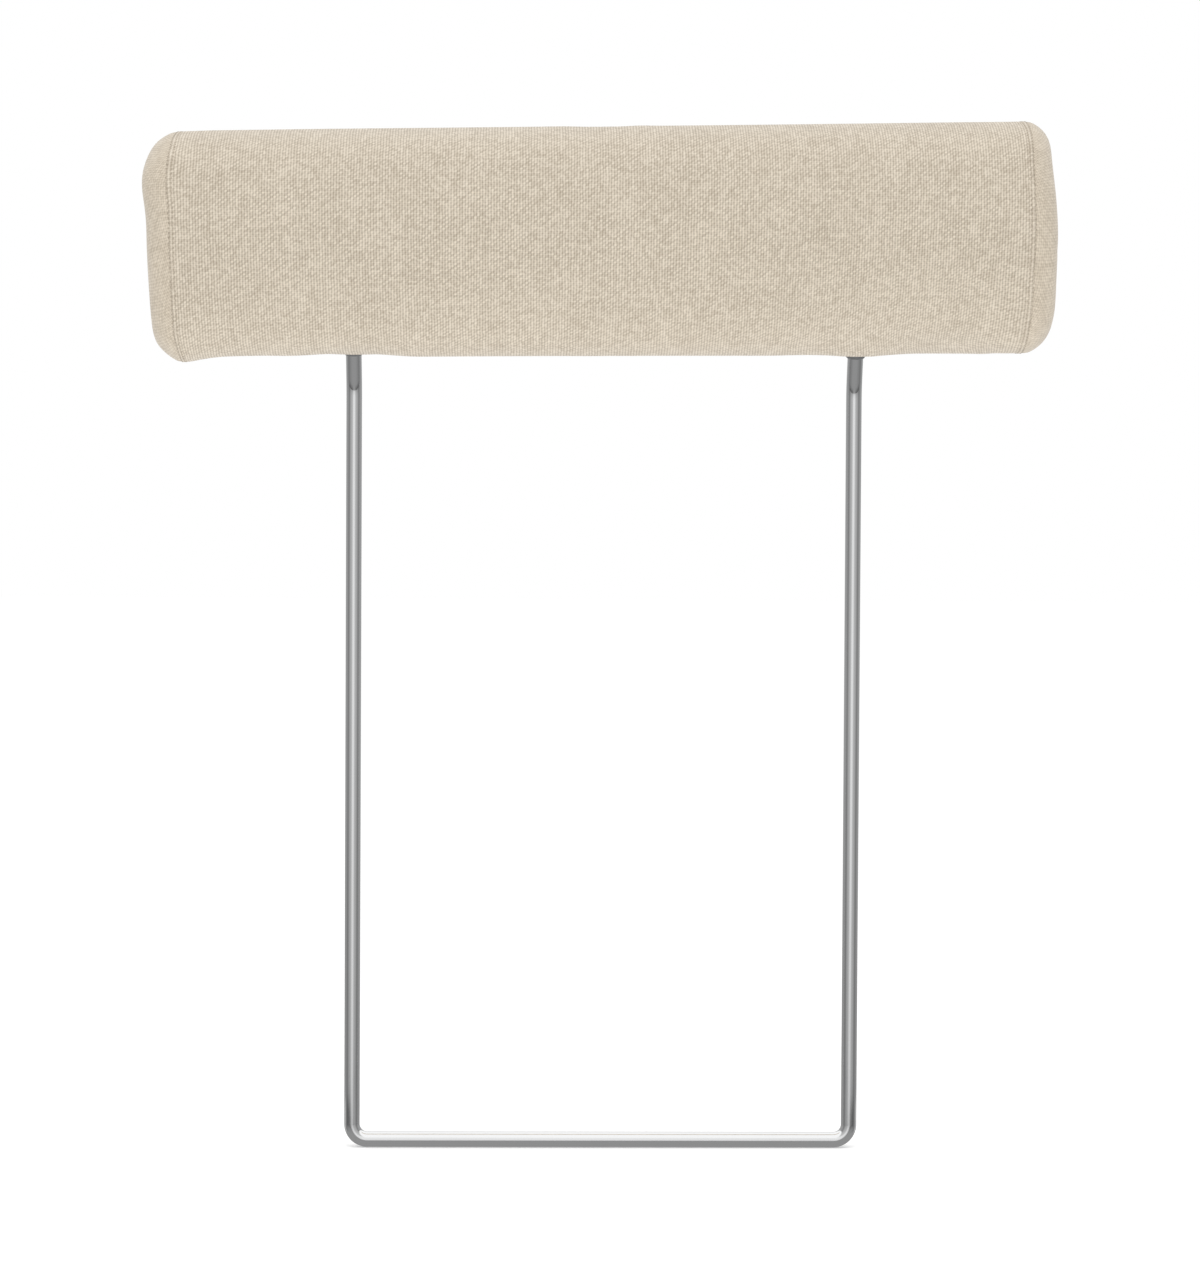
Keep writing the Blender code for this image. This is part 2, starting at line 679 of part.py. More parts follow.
def build_zip_stop(name, side):
    near = COIL_RUN / 2 + GAP
    low_x, high_x = sorted((side * near, side * (near + ZIP_STOP_LENGTH)))
    mesh = box_mesh(name, (low_x, -COIL_OUTER, COIL_BASE), (high_x, COIL_OUTER, COIL_BASE + ZIP_STOP_HEIGHT))
    round_edges(add_part(name, mesh, COIL, ZIP_AXIS), ZIP_EDGE_ROUND)


def bridge_mesh(name, low):
    """The small arch on the slider, drawn from the side and pulled across."""
    half = BRIDGE_LENGTH / 2
    high = low + BRIDGE_RISE
    corners = (
        (-half, low),
        (-half, high - BRIDGE_WALL),
        (-half + BRIDGE_WALL, high),
        (half - BRIDGE_WALL, high),
        (half, high - BRIDGE_WALL),
        (half, low),
        (half - BRIDGE_WALL, low),
        (half - BRIDGE_WALL, high - BRIDGE_WALL),
        (-half + BRIDGE_WALL, high - BRIDGE_WALL),
        (-half + BRIDGE_WALL, low),
    )
    outline = [(x, -BRIDGE_WIDTH / 2, z) for x, z in corners]
    return prism_mesh(name, outline, (0, BRIDGE_WIDTH, 0))


def build_slider():
    """Two plates joined by a thin post that passes between the coils, with a bridge on top."""
    rest = (SLIDER_LENGTH - COIL_RUN) / 2  # flush with the closed end of the coils
    axis = make_empty("zip_slide_axis", ZIP_AXIS, Matrix.Translation((rest, 0, 0)))
    half_length = SLIDER_LENGTH / 2
    half_width = COIL_OUTER + SLIDER_LAP
    top_low = COIL_BASE + ZIP_COIL_HEIGHT + GAP
    top_high = top_low + SLIDER_PLATE
    inner_high = -WADDING_INSET - ZIP_TAPE_THICKNESS - SLIDER_PLAY
    inner_low = inner_high - SLIDER_PLATE
    overlap = SLIDER_PLATE / 2
    half_post = half_length - POST_SETBACK
    top = box_mesh("zip_slider", (-half_length, -half_width, top_low), (half_length, half_width, top_high))
    slider = add_part("zip_slider", top, ZIP_METAL, axis)
    post = box_mesh(
        "slider_post",
        (-half_post, -SLIDER_POST / 2, inner_high - overlap),
        (half_post, SLIDER_POST / 2, top_low + overlap),
    )
    combine(slider, post, axis, "UNION")
    inner = box_mesh(
        "slider_inner_plate", (-half_length, -half_width, inner_low), (half_length, half_width, inner_high)
    )
    combine(slider, inner, axis, "UNION")
    combine(slider, bridge_mesh("slider_bridge", top_high - overlap), axis, "UNION")


def cushion_matrix():
    """Cushion frame: its origin at the section's centre, z along the leaning rods."""
    kick = Matrix.Translation((0, 0, KICK_HEIGHT))
    lean = Matrix.Rotation(KICK_ANGLE, 4, "X")
    return kick @ lean @ Matrix.Translation((0, -ROD_OFFSET, CUSHION_LIFT))


def zip_matrix():
    """Zip frame: its origin on the cover's outer face, z pointing out of the cushion."""
    foot = section_point(0.0, ZIP_ANGLE)
    slope_y = (foot.y / HALF_DEPTH) ** (SECTION_POWER - 1) / HALF_DEPTH
    slope_z = -((-foot.z / HALF_HEIGHT) ** (SECTION_POWER - 1)) / HALF_HEIGHT
    return Matrix.Translation(foot) @ Matrix.Rotation(math.atan2(-slope_y, slope_z), 4, "X")


clear_scene()
PARTS = new_collection("sofa_headrest")
CUTTERS = new_collection("cutters")

CHROME = make_material("chromed_steel", (0.80, 0.80, 0.80), 0.06, 1.0)
FABRIC = make_material("woven_fabric", (0.62, 0.55, 0.44), 0.95)
SOCKET_PLASTIC = make_material("socket_plastic", (0.05, 0.05, 0.05), 0.45)
PLYWOOD = make_material("plywood", (0.55, 0.40, 0.24), 0.70)
FOAM = make_material("foam", (0.85, 0.80, 0.62), 0.95)
WADDING = make_material("fibre_wadding", (0.90, 0.90, 0.88), 0.98)
SCREW_STEEL = make_material("zinc_plated_steel", (0.60, 0.60, 0.58), 0.35, 1.0)
TAPE = make_material("zip_tape", (0.60, 0.53, 0.42), 0.90)
COIL = make_material("zip_coil", (0.58, 0.51, 0.40), 0.45)
ZIP_METAL = make_material("zip_slider_metal", (0.55, 0.53, 0.50), 0.35, 1.0)

CUSHION_AXIS = make_empty("cushion_axis", None, cushion_matrix())
ZIP_AXIS = make_empty("zip_axis", CUSHION_AXIS, zip_matrix())

build_frame()
build_board()
build_foam()
build_wadding()
build_sleeve()
build_zip_tape("zip_tape_front", -1)
build_zip_tape("zip_tape_rear", 1)
build_zip_coil("zip_coil_front", -1)
build_zip_coil("zip_coil_rear", 1)
build_zip_stop("zip_stop_closed", -1)
build_zip_stop("zip_stop_open", 1)
build_slider()
for side_label, side_sign in SIDES:
    build_socket(side_label, side_sign)
    build_fibre_pad(side_label, side_sign)
    build_cover_end(side_label, side_sign)
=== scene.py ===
# %% [markdown]
# # A headrest for a sofa
# A long fabric cushion sits on one chromed steel rod that is bent to a U. The measured model gives
# every piece its place, so this lesson starts by loading it, and then dresses it: the rod gets a
# smooth skin of chrome, the cushion a woven cover that is blown up like a real stuffed one, and the
# pieces inside get their own wood, foam, plastic and steel.

# %% Load the measured model
import math

import bmesh
import bpy
import numpy as np
from mathutils import Matrix, Vector


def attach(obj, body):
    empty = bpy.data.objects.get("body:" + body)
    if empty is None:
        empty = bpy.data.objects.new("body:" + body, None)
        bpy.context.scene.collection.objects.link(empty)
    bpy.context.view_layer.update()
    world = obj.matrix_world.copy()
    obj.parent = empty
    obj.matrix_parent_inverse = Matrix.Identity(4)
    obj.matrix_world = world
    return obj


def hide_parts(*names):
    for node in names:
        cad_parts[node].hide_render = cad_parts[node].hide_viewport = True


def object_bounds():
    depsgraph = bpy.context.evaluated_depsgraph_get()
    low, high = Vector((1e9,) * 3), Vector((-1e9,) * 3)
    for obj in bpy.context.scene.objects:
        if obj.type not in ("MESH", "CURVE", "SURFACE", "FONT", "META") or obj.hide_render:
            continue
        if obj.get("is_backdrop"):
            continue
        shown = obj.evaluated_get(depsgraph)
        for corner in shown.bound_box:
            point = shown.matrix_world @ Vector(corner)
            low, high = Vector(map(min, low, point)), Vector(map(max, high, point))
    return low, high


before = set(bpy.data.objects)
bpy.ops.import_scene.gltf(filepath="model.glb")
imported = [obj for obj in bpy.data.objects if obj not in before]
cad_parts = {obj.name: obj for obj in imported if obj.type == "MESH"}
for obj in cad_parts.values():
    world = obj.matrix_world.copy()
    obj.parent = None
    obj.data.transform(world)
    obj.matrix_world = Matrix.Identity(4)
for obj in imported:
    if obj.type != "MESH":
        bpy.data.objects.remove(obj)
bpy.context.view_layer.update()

# %% [markdown]
# ## The camera
# The photograph was taken from about 2.6 m away, a little left of the middle and above half height,
# with the camera turned and tipped by a degree or so. Those few angles explain why the two legs
# seem to lean while the rail is level, so the frame itself stays square. The lens is the one that
# makes the frame as wide as it is in a picture of 1200 by 1272 pixels.

# %% Camera at the photograph's viewpoint
CAMERA_PLACE = Vector((-0.0615, -2.6, 0.4682))
CAMERA_YAW = math.radians(1.30)
CAMERA_PITCH = math.radians(1.585)
CAMERA_ROLL = math.radians(-0.305)
FOCAL_PIXELS = 3370.5
PICTURE_HEIGHT = 1272
SENSOR = 36.0

level_right = Vector((math.cos(CAMERA_YAW), -math.sin(CAMERA_YAW), 0))
level_ahead = Vector((math.sin(CAMERA_YAW), math.cos(CAMERA_YAW), 0))
ahead = level_ahead * math.cos(CAMERA_PITCH) - Vector((0, 0, math.sin(CAMERA_PITCH)))
above = level_ahead * math.sin(CAMERA_PITCH) + Vector((0, 0, math.cos(CAMERA_PITCH)))
right = level_right * math.cos(CAMERA_ROLL) - above * math.sin(CAMERA_ROLL)
up = level_right * math.sin(CAMERA_ROLL) + above * math.cos(CAMERA_ROLL)

lens = bpy.data.cameras.new("camera")
lens.sensor_width = SENSOR
lens.lens = FOCAL_PIXELS * SENSOR / PICTURE_HEIGHT
lens.clip_start = 0.05
lens.clip_end = 100
camera = bpy.data.objects.new("camera", lens)
turned = Matrix((right, up, -ahead)).transposed().to_4x4()
camera.matrix_world = Matrix.Translation(CAMERA_PLACE) @ turned
bpy.context.scene.collection.objects.link(camera)
bpy.context.scene.camera = camera
print("lens in mm:", round(lens.lens, 1))

# %% [markdown]
# ## Small helpers
# Finishes are built from nodes. Small helpers keep that short: one adds a node and fills its
# sockets, and others do a sum, a noise, a mix of two colours or a bump. The last helper turns a
# bmesh into an object that rides on a body of the measured model, because every piece has to move
# with one.


# %% Helpers for pieces and finishes
def new_finish(name, sockets=()):
    """A finish and its shader; sockets holds pairs of a socket's name and its plain value."""
    finish = bpy.data.materials.new(name)
    finish.use_nodes = True
    shader = finish.node_tree.nodes["Principled BSDF"]
    for socket, value in sockets:
        shader.inputs[socket].default_value = value
    return finish, shader


def join(finish, value, socket):
    """Links a source to a socket, or fills the socket with a plain value."""
    if isinstance(value, bpy.types.NodeSocket):
        finish.node_tree.links.new(value, socket)
    else:
        socket.default_value = value


def put(finish, kind, sockets=(), **settings):
    """Adds a node; sockets holds pairs of a socket's name or number and its value or source."""
    node = finish.node_tree.nodes.new(kind)
    for setting, value in settings.items():
        setattr(node, setting, value)
    for socket, value in sockets:
        join(finish, value, node.inputs[socket])
    return node


def sums(finish, operation, *values):
    return put(finish, "ShaderNodeMath", enumerate(values), operation=operation).outputs[0]


def blend_colours(finish, share, first, second, kind="MIX"):
    mix = put(finish, "ShaderNodeMix", data_type="RGBA", blend_type=kind)
    for number, value in ((0, share), (6, first), (7, second)):
        join(finish, value, mix.inputs[number])
    return mix.outputs[2]


def object_spot(finish):
    return put(finish, "ShaderNodeTexCoord").outputs["Object"]


def noise(finish, spot, scale, detail, *more):
    """The value of a noise; more holds pairs for its other sockets."""
    sockets = [("Vector", spot), ("Scale", scale), ("Detail", detail), *more]
    return put(finish, "ShaderNodeTexNoise", sockets).outputs["Fac"]


def colour(finish, shader, share, first, second):
    join(finish, blend_colours(finish, share, first, second), shader.inputs["Base Color"])


def bump(finish, shader, height, strength, depth):
    sockets = [("Height", height), ("Strength", strength), ("Distance", depth)]
    join(finish, put(finish, "ShaderNodeBump", sockets).outputs[0], shader.inputs["Normal"])


# %% Helpers for objects
def make_object(name, form, finish):
    mesh = bpy.data.meshes.new(name)
    form.to_mesh(mesh)
    form.free()
    mesh.materials.append(finish)
    made = bpy.data.objects.new(name, mesh)
    bpy.context.scene.collection.objects.link(made)
    return made


def make_piece(name, form, finish, body):
    piece = make_object(name, form, finish)
    faces = piece.data.polygons
    faces.foreach_set("use_smooth", [True] * len(faces))
    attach(piece, body)
    print(name, "has", len(faces), "faces")
    return piece


# %% [markdown]
# ## Studio
# The object stands on a plain white floor in even light. The world lights it from all sides, a wide
# lamp from the front and above adds a trace of form, and a low one lifts the cushion's underside,
# which the photograph shows pale. The floor and background are kept white where the camera looks,
# with only the object's contact shadow left on the floor.

# %% Even light from the world
WORLD_LEVEL = 0.86


def seen_directly(finish):
    """1 for what the camera, mirrors and glass see, 0 for the light that falls on things."""
    path = put(finish, "ShaderNodeLightPath")
    seen = sums(finish, "MAXIMUM", path.outputs["Is Camera Ray"], path.outputs["Is Glossy Ray"])
    return sums(finish, "MAXIMUM", seen, path.outputs["Is Transmission Ray"])


world = bpy.data.worlds.new("studio")
world.use_nodes = True
bpy.context.scene.world = world
background = world.node_tree.nodes["Background"]
background.inputs["Color"].default_value = (1, 1, 1, 1)
level = sums(world, "MULTIPLY_ADD", seen_directly(world), 1.0 - WORLD_LEVEL, WORLD_LEVEL)
join(world, level, background.inputs["Strength"])
bpy.context.scene.view_settings.view_transform = "Standard"
print("world level:", WORLD_LEVEL)


# %% Soft lamps
def soft_lamp(name, place, aim, wide, high, energy):
    """A wide lamp that lights the object but shows in no mirror."""
    lamp = bpy.data.lights.new(name, "AREA")
    lamp.shape = "RECTANGLE"
    lamp.size = wide
    lamp.size_y = high
    lamp.energy = energy
    holder = bpy.data.objects.new(name, lamp)
    holder.location = place
    holder.rotation_mode = "QUATERNION"
    holder.rotation_quaternion = (Vector(aim) - Vector(place)).to_track_quat("-Z", "Y")
    holder.visible_glossy = False
    holder.visible_camera = False
    bpy.context.scene.collection.objects.link(holder)
    print(name, "of", wide, "by", high, "m,", energy, "W")


soft_lamp("high_lamp", place=(-0.1, -1.3, 3.3), aim=(0, 0, 0.5), wide=3.0, high=1.6, energy=32.0)
soft_lamp("low_lamp", place=(0, -0.35, 0.03), aim=(0, -0.09, 0.62), wide=1.4, high=0.2, energy=1.7)

# %% White floor that keeps the shadow
FLOOR_HALF = 25.0
FLOOR_COLOUR = (0.94, 0.94, 0.94, 1)
FLOOR_LIFT = 0.20
floor_finish, shader = new_finish(
    "white_floor",
    [
        ("Base Color", FLOOR_COLOUR),
        ("Roughness", 1.0),
        ("Specular IOR Level", 0.0),
        ("Emission Color", (1, 1, 1, 1)),
    ],
)
floor_glow = sums(floor_finish, "MULTIPLY", seen_directly(floor_finish), FLOOR_LIFT)
join(floor_finish, floor_glow, shader.inputs["Emission Strength"])

floor_form = bmesh.new()
bmesh.ops.create_grid(floor_form, x_segments=8, y_segments=8, size=FLOOR_HALF)
studio_floor = make_object("floor", floor_form, floor_finish)
studio_floor.visible_glossy = False
studio_floor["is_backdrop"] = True
print("floor of", 2 * FLOOR_HALF, "m")

# %% [markdown]
# ## What the chrome reflects
# Chrome has no colour of its own: it shows the room. In the photograph each leg has a bright line
# down its middle, darker bands beside it and grey edges, and the rail is white above and grey
# below. So the studio has a big drum of grey cards round the object, which is bright in front,
# darkest at the sides, and closed by a grey card below. That card is darkest far out and off the
# middle, which draws the small dark V where each leg bends forward. Only reflections see the drum:
# it gives no light to the cloth and doesn't show in the picture.

# %% Tones of the drum
# Each pair is a share of the half turn from the front to the back, and the grey tone there.
WALL_TONES = (
    (0.00, 0.80),
    (0.06, 0.75),
    (0.11, 0.54),
    (0.17, 0.45),
    (0.25, 0.41),
    (0.31, 0.33),
    (0.38, 0.23),
    (0.44, 0.21),
    (0.52, 0.29),
    (0.62, 0.33),
    (0.75, 0.34),
    (0.88, 0.42),
    (1.00, 0.66),
)
FAR_FLOOR_TONES = (
    (0.00, 0.29),
    (0.15, 0.28),
    (0.35, 0.24),
    (0.48, 0.19),
    (0.56, 0.24),
    (0.65, 0.62),
    (0.74, 0.26),
    (0.88, 0.50),
    (1.00, 0.62),
)
NEAR_FLOOR_TONE = 0.29


def grey_ramp(finish, value, stops):
    """Turns a value from 0 to 1 into a grey, by soft steps from stop to stop."""
    ramp_node = put(finish, "ShaderNodeValToRGB", [(0, value)])
    ramp = ramp_node.color_ramp
    ramp.interpolation = "EASE"
    while len(ramp.elements) < len(stops):
        ramp.elements.new(0.5)
    for element, (place, tone) in zip(ramp.elements, stops):
        element.position = place
        element.color = (tone, tone, tone, 1)
    return ramp_node.outputs["Color"]


# %% Reflection drum
DRUM_RADIUS = 8.0
DRUM_LOW = -1.35
DRUM_HIGH = 5.6
LIGHTER_UP = 0.03
DARKER_DOWN = 0.13
FAR_FROM, FAR_TO = 2.9, 3.6
RIM_FROM, RIM_TO = 4.4, 7.6
RIM_MIDDLE, RIM_REACH = 0.26, 0.16
RIM_DARK = 0.62
cards, cards_shader = new_finish("reflection_cards")
cards.node_tree.nodes.remove(cards_shader)


def grow(value, low, high):
    sockets = [("Value", value), ("From Min", low), ("From Max", high)]
    return put(cards, "ShaderNodeMapRange", sockets).outputs[0]


def mix_tones(share, first, second):
    return put(cards, "ShaderNodeMix", [(0, share), (2, first), (3, second)]).outputs[0]


spot = object_spot(cards)
place = put(cards, "ShaderNodeSeparateXYZ", [(0, spot)])
frontwards = sums(cards, "MULTIPLY", place.outputs["Y"], -1.0)
swing = sums(cards, "ARCTAN2", place.outputs["X"], frontwards)
share = sums(cards, "DIVIDE", sums(cards, "ABSOLUTE", swing), math.pi)
upper = sums(cards, "MULTIPLY_ADD", place.outputs["Z"], LIGHTER_UP, 1.0)
lower = sums(cards, "MULTIPLY_ADD", place.outputs["Z"], DARKER_DOWN, 1.0)
rise = sums(cards, "MINIMUM", upper, lower)
wall_tone = sums(cards, "MULTIPLY", grey_ramp(cards, share, WALL_TONES), rise)

away = put(cards, "ShaderNodeVectorMath", [(0, spot)], operation="LENGTH").outputs["Value"]
off_rim = sums(cards, "ABSOLUTE", sums(cards, "SUBTRACT", share, RIM_MIDDLE))
flank = sums(cards, "LESS_THAN", off_rim, RIM_REACH)
rim = sums(cards, "MULTIPLY", flank, grow(away, RIM_FROM, RIM_TO))
rim_light = sums(cards, "MULTIPLY_ADD", rim, -RIM_DARK, 1.0)
far_tone = sums(cards, "MULTIPLY", grey_ramp(cards, share, FAR_FLOOR_TONES), rim_light)
floor_tone = mix_tones(grow(away, FAR_FROM, FAR_TO), NEAR_FLOOR_TONE, far_tone)

below = sums(cards, "LESS_THAN", place.outputs["Z"], DRUM_LOW + 0.01)
tone = mix_tones(below, wall_tone, floor_tone)
glow = put(cards, "ShaderNodeEmission", [("Strength", tone)])
join(cards, glow.outputs[0], cards.node_tree.nodes["Material Output"].inputs["Surface"])

drum_form = bmesh.new()
drum_sizes = {"radius1": DRUM_RADIUS, "radius2": DRUM_RADIUS, "depth": DRUM_HIGH - DRUM_LOW}
bmesh.ops.create_cone(drum_form, cap_ends=True, segments=96, **drum_sizes)
bmesh.ops.translate(drum_form, vec=(0, 0, (DRUM_LOW + DRUM_HIGH) / 2), verts=drum_form.verts)
lid = [face for face in drum_form.faces if face.calc_center_median().z > DRUM_HIGH - 0.01]
bmesh.ops.delete(drum_form, geom=lid, context="FACES_ONLY")
drum = make_object("reflection_drum", drum_form, cards)
drum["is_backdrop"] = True
for ray in ("camera", "diffuse", "transmission", "volume_scatter", "shadow"):
    setattr(drum, "visible_" + ray, False)
print("drum of", DRUM_RADIUS, "m")

# %% [markdown]
# ## The chromed frame
# The real frame is one round rod, 12 mm thick, bent cold round a former. It is made the same way
# here: a circle is pulled straight along half the rail, spun round the corner, pulled up the leg,
# spun forward by 20 degrees at the small bend, and pulled on into the cushion. Then it is mirrored.

# %% Sizes of the frame
ROD_RADIUS = 0.006
LEG_PLACE = 0.1925
RAIL_HEIGHT = 0.00596
RAIL_BEND_RADIUS = 0.012
KICK_HEIGHT = 0.58646
KICK_ANGLE = math.radians(20.0)
KICK_BEND_RADIUS = 0.048
ROD_ABOVE_KICK = 0.128
ROD_SIDES = 40
RAIL_STEPS = 6
CORNER_STEPS = 14
LEG_STEPS = 16
KICK_STEPS = 10
NECK_STEPS = 3
SAME_PLACE = 0.00001
print("rod of", 1000 * 2 * ROD_RADIUS, "mm, legs", 1000 * 2 * LEG_PLACE, "mm apart")


# %% Bend the rod
def pull(form, edges, shift):
    """Pulls a ring of edges straight along and returns the new ring."""
    pulled = bmesh.ops.extrude_edge_only(form, edges=edges)["geom"]
    corners = [item for item in pulled if isinstance(item, bmesh.types.BMVert)]
    bmesh.ops.translate(form, vec=shift, verts=corners)
    return [item for item in pulled if isinstance(item, bmesh.types.BMEdge)]


def bend_round(form, edges, centre, axis, angle, steps):
    spun = bmesh.ops.spin(form, geom=edges, cent=centre, axis=axis, angle=angle, steps=steps)
    return [item for item in spun["geom_last"] if isinstance(item, bmesh.types.BMEdge)]


rod = bmesh.new()
bmesh.ops.create_circle(rod, segments=ROD_SIDES, radius=ROD_RADIUS)
bmesh.ops.rotate(rod, cent=(0, 0, 0), matrix=Matrix.Rotation(math.pi / 2, 3, "Y"), verts=rod.verts)
bmesh.ops.translate(rod, vec=(0, 0, RAIL_HEIGHT), verts=rod.verts)
corner_x = LEG_PLACE - RAIL_BEND_RADIUS
corner_z = RAIL_HEIGHT + RAIL_BEND_RADIUS
kick_reach = KICK_BEND_RADIUS * math.tan(KICK_ANGLE / 2)
kick_low = KICK_HEIGHT - kick_reach
lean = Vector((0, -math.sin(KICK_ANGLE), math.cos(KICK_ANGLE)))
ring = list(rod.edges)
for step in range(RAIL_STEPS):
    ring = pull(rod, ring, (corner_x / RAIL_STEPS, 0, 0))
ring = bend_round(rod, ring, (corner_x, 0, corner_z), (0, -1, 0), math.pi / 2, CORNER_STEPS)
for step in range(LEG_STEPS):
    ring = pull(rod, ring, (0, 0, (kick_low - corner_z) / LEG_STEPS))
ring = bend_round(rod, ring, (0, -KICK_BEND_RADIUS, kick_low), (1, 0, 0), KICK_ANGLE, KICK_STEPS)
for step in range(NECK_STEPS):
    ring = pull(rod, ring, lean * ((ROD_ABOVE_KICK - kick_reach) / NECK_STEPS))
bmesh.ops.contextual_create(rod, geom=ring)
whole = rod.verts[:] + rod.edges[:] + rod.faces[:]
bmesh.ops.mirror(rod, geom=whole, axis="X", merge_dist=SAME_PLACE)
bmesh.ops.remove_doubles(rod, verts=rod.verts, dist=SAME_PLACE)
middle = [face for face in rod.faces if all(abs(corner.co.x) < SAME_PLACE for corner in face.verts)]
bmesh.ops.delete(rod, geom=middle, context="FACES")
bmesh.ops.recalc_face_normals(rod, faces=rod.faces)
print("open edges in the rod:", sum(edge.is_boundary for edge in rod.edges))

# %% [markdown]
# ## Chrome
# Chrome plate is a metal with a very low roughness. A perfect mirror looks drawn, so a fine noise
# along the rod changes the gloss a little, as polishing does, and a faint bump keeps the reflected
# lines from being ruler straight. The rail, which stands on floors and rubs on the sofa, is a touch
# duller.

# %% Chrome finish
chrome, shader = new_finish("polished_chrome", [("Metallic", 1.0)])
spot = object_spot(chrome)
stretch = put(chrome, "ShaderNodeMapping", [("Vector", spot), ("Scale", (260.0, 260.0, 9.0))])
drawn = noise(chrome, stretch.outputs[0], 1.0, 3.0)
wear = noise(chrome, spot, 22.0, 5.0)
height = put(chrome, "ShaderNodeSeparateXYZ", [(0, spot)]).outputs["Z"]
low_down = [("From Min", 0.004), ("From Max", 0.03), ("To Min", 1.0), ("To Max", 0.0)]
near_rail = put(chrome, "ShaderNodeMapRange", [("Value", height), *low_down]).outputs[0]
rubbed = sums(chrome, "MULTIPLY", near_rail, sums(chrome, "MULTIPLY", wear, 0.05))
gloss = sums(chrome, "MULTIPLY_ADD", drawn, 0.05, 0.055)
join(chrome, sums(chrome, "ADD", gloss, rubbed), shader.inputs["Roughness"])
colour(chrome, shader, wear, (0.93, 0.935, 0.94, 1), (0.90, 0.905, 0.91, 1))
bump(chrome, shader, drawn, 0.06, 0.0002)

chrome_frame = make_piece("chrome_frame", rod, chrome, "headrest")
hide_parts("support_frame")

# %% [markdown]
# ## The cushion's section
# The cushion has the same section from seam to seam: a rounded box that is a little higher than
# deep, tipped forward with the rods. A superellipse gives it in one line. Places on the cover are
# named by two lengths, as a tailor would: how far along the cushion, and how far round it from the
# zip. The weave uses the same two lengths, so its threads keep their true spacing.

# %% Section and its lengths
CUSHION_HEIGHT = 0.1735
CUSHION_DEPTH = 0.124
SECTION_POWER = 2.4
ROD_OFFSET = -0.010
CUSHION_LIFT = 0.11427
ZIP_SETBACK = 0.020
HALF_HEIGHT = CUSHION_HEIGHT / 2
HALF_DEPTH = CUSHION_DEPTH / 2
ZIP_TURN = -math.acos((ZIP_SETBACK / HALF_DEPTH) ** (SECTION_POWER / 2))
WALK = 2880


def section_point(inset, turn):
    across = math.copysign(abs(math.cos(turn)) ** (2 / SECTION_POWER), math.cos(turn))
    upward = math.copysign(abs(math.sin(turn)) ** (2 / SECTION_POWER), math.sin(turn))
    return (HALF_DEPTH - inset) * across, (HALF_HEIGHT - inset) * upward


turns = np.linspace(ZIP_TURN, ZIP_TURN + math.tau, WALK + 1)
walk = np.array([section_point(0.0, turn) for turn in turns])
walked = np.concatenate(([0.0], np.cumsum(np.linalg.norm(np.diff(walk, axis=0), axis=1))))
GIRTH = float(walked[-1])


def place_round(girth, inset=0.0):
    """Where the section lies at a length round it from the zip."""
    return section_point(inset, float(np.interp(girth % GIRTH, walked, turns)))


def girth_of(place):
    across = math.copysign((abs(place.y) / HALF_DEPTH) ** (SECTION_POWER / 2), place.y)
    upward = math.copysign((abs(place.z) / HALF_HEIGHT) ** (SECTION_POWER / 2), place.z)
    turn = (math.atan2(upward, across) - ZIP_TURN) % math.tau + ZIP_TURN
    return float(np.interp(turn, turns, walked))


rod_turn = math.tau - math.acos(-((abs(ROD_OFFSET) / HALF_DEPTH) ** (SECTION_POWER / 2)))
ROD_GIRTH = float(np.interp(rod_turn, turns, walked))
lift = Matrix.Translation((0, 0, KICK_HEIGHT)) @ Matrix.Rotation(KICK_ANGLE, 4, "X")
CUSHION = lift @ Matrix.Translation((0, -ROD_OFFSET, CUSHION_LIFT))
print("girth of the cushion in mm:", round(1000 * GIRTH, 1), "rods at", round(1000 * ROD_GIRTH, 1))

# %% [markdown]
# ## The cover as one closed skin
# All three panels are first made as one skin, so that they can be blown up together. A circle is
# drawn to the section, pulled along the cushion in columns, and carried over the soft edge and the
# crowned end panel at both ends. Columns and rows are placed so that the rod holes, the zip slot
# and the seams each fall on a line of the net.

# %% Columns and rows of the net
JOINT = 0.325
FOAM_END = 0.3155
SLOT_HALF_LENGTH = 0.280
SLOT_HALF_WIDTH = 0.00405
TAPE_EDGE = 0.01285
HOLE_SPAN = 0.0055
END_ROUND = 0.018
END_ROUND_STEPS = 5
END_RINGS = (1.0, 0.82, 0.64, 0.46, 0.28, 0.12)
END_CROWN = 0.003
NET_STEP = 0.006


def evenly(stops, step):
    """Places about one step apart that go through every stop."""
    places = [stops[0]]
    for low, high in zip(stops, stops[1:]):
        count = max(1, round((high - low) / step))
        places += [low + (high - low) * number / count for number in range(1, count + 1)]
    return places


half_stops = [LEG_PLACE - HOLE_SPAN, LEG_PLACE, LEG_PLACE + HOLE_SPAN]
half_stops += [SLOT_HALF_LENGTH, FOAM_END, JOINT]
columns = evenly([-stop for stop in reversed(half_stops)] + half_stops, NET_STEP)
row_stops = [0.0, SLOT_HALF_WIDTH, TAPE_EDGE]
row_stops += [ROD_GIRTH - HOLE_SPAN, ROD_GIRTH, ROD_GIRTH + HOLE_SPAN]
row_stops += [GIRTH - TAPE_EDGE, GIRTH - SLOT_HALF_WIDTH, GIRTH]
rows = evenly(row_stops, NET_STEP)[:-1]
print(len(columns), "columns and", len(rows), "rows")


# %% Draw the skin
def tag(form, items, panel, reach):
    """Notes the panel of new faces, and how far new corners lie from the seam."""
    panel_note = form.faces.layers.int["panel"]
    reach_note = form.verts.layers.float["reach"]
    along_note = form.verts.layers.float["along"]
    girth_note = form.verts.layers.float["girth"]
    for item in items:
        if isinstance(item, bmesh.types.BMFace):
            item[panel_note] = panel
        if isinstance(item, bmesh.types.BMVert):
            item[reach_note] = reach
            item[along_note] = item.co.x
            item[girth_note] = girth_of(item.co)


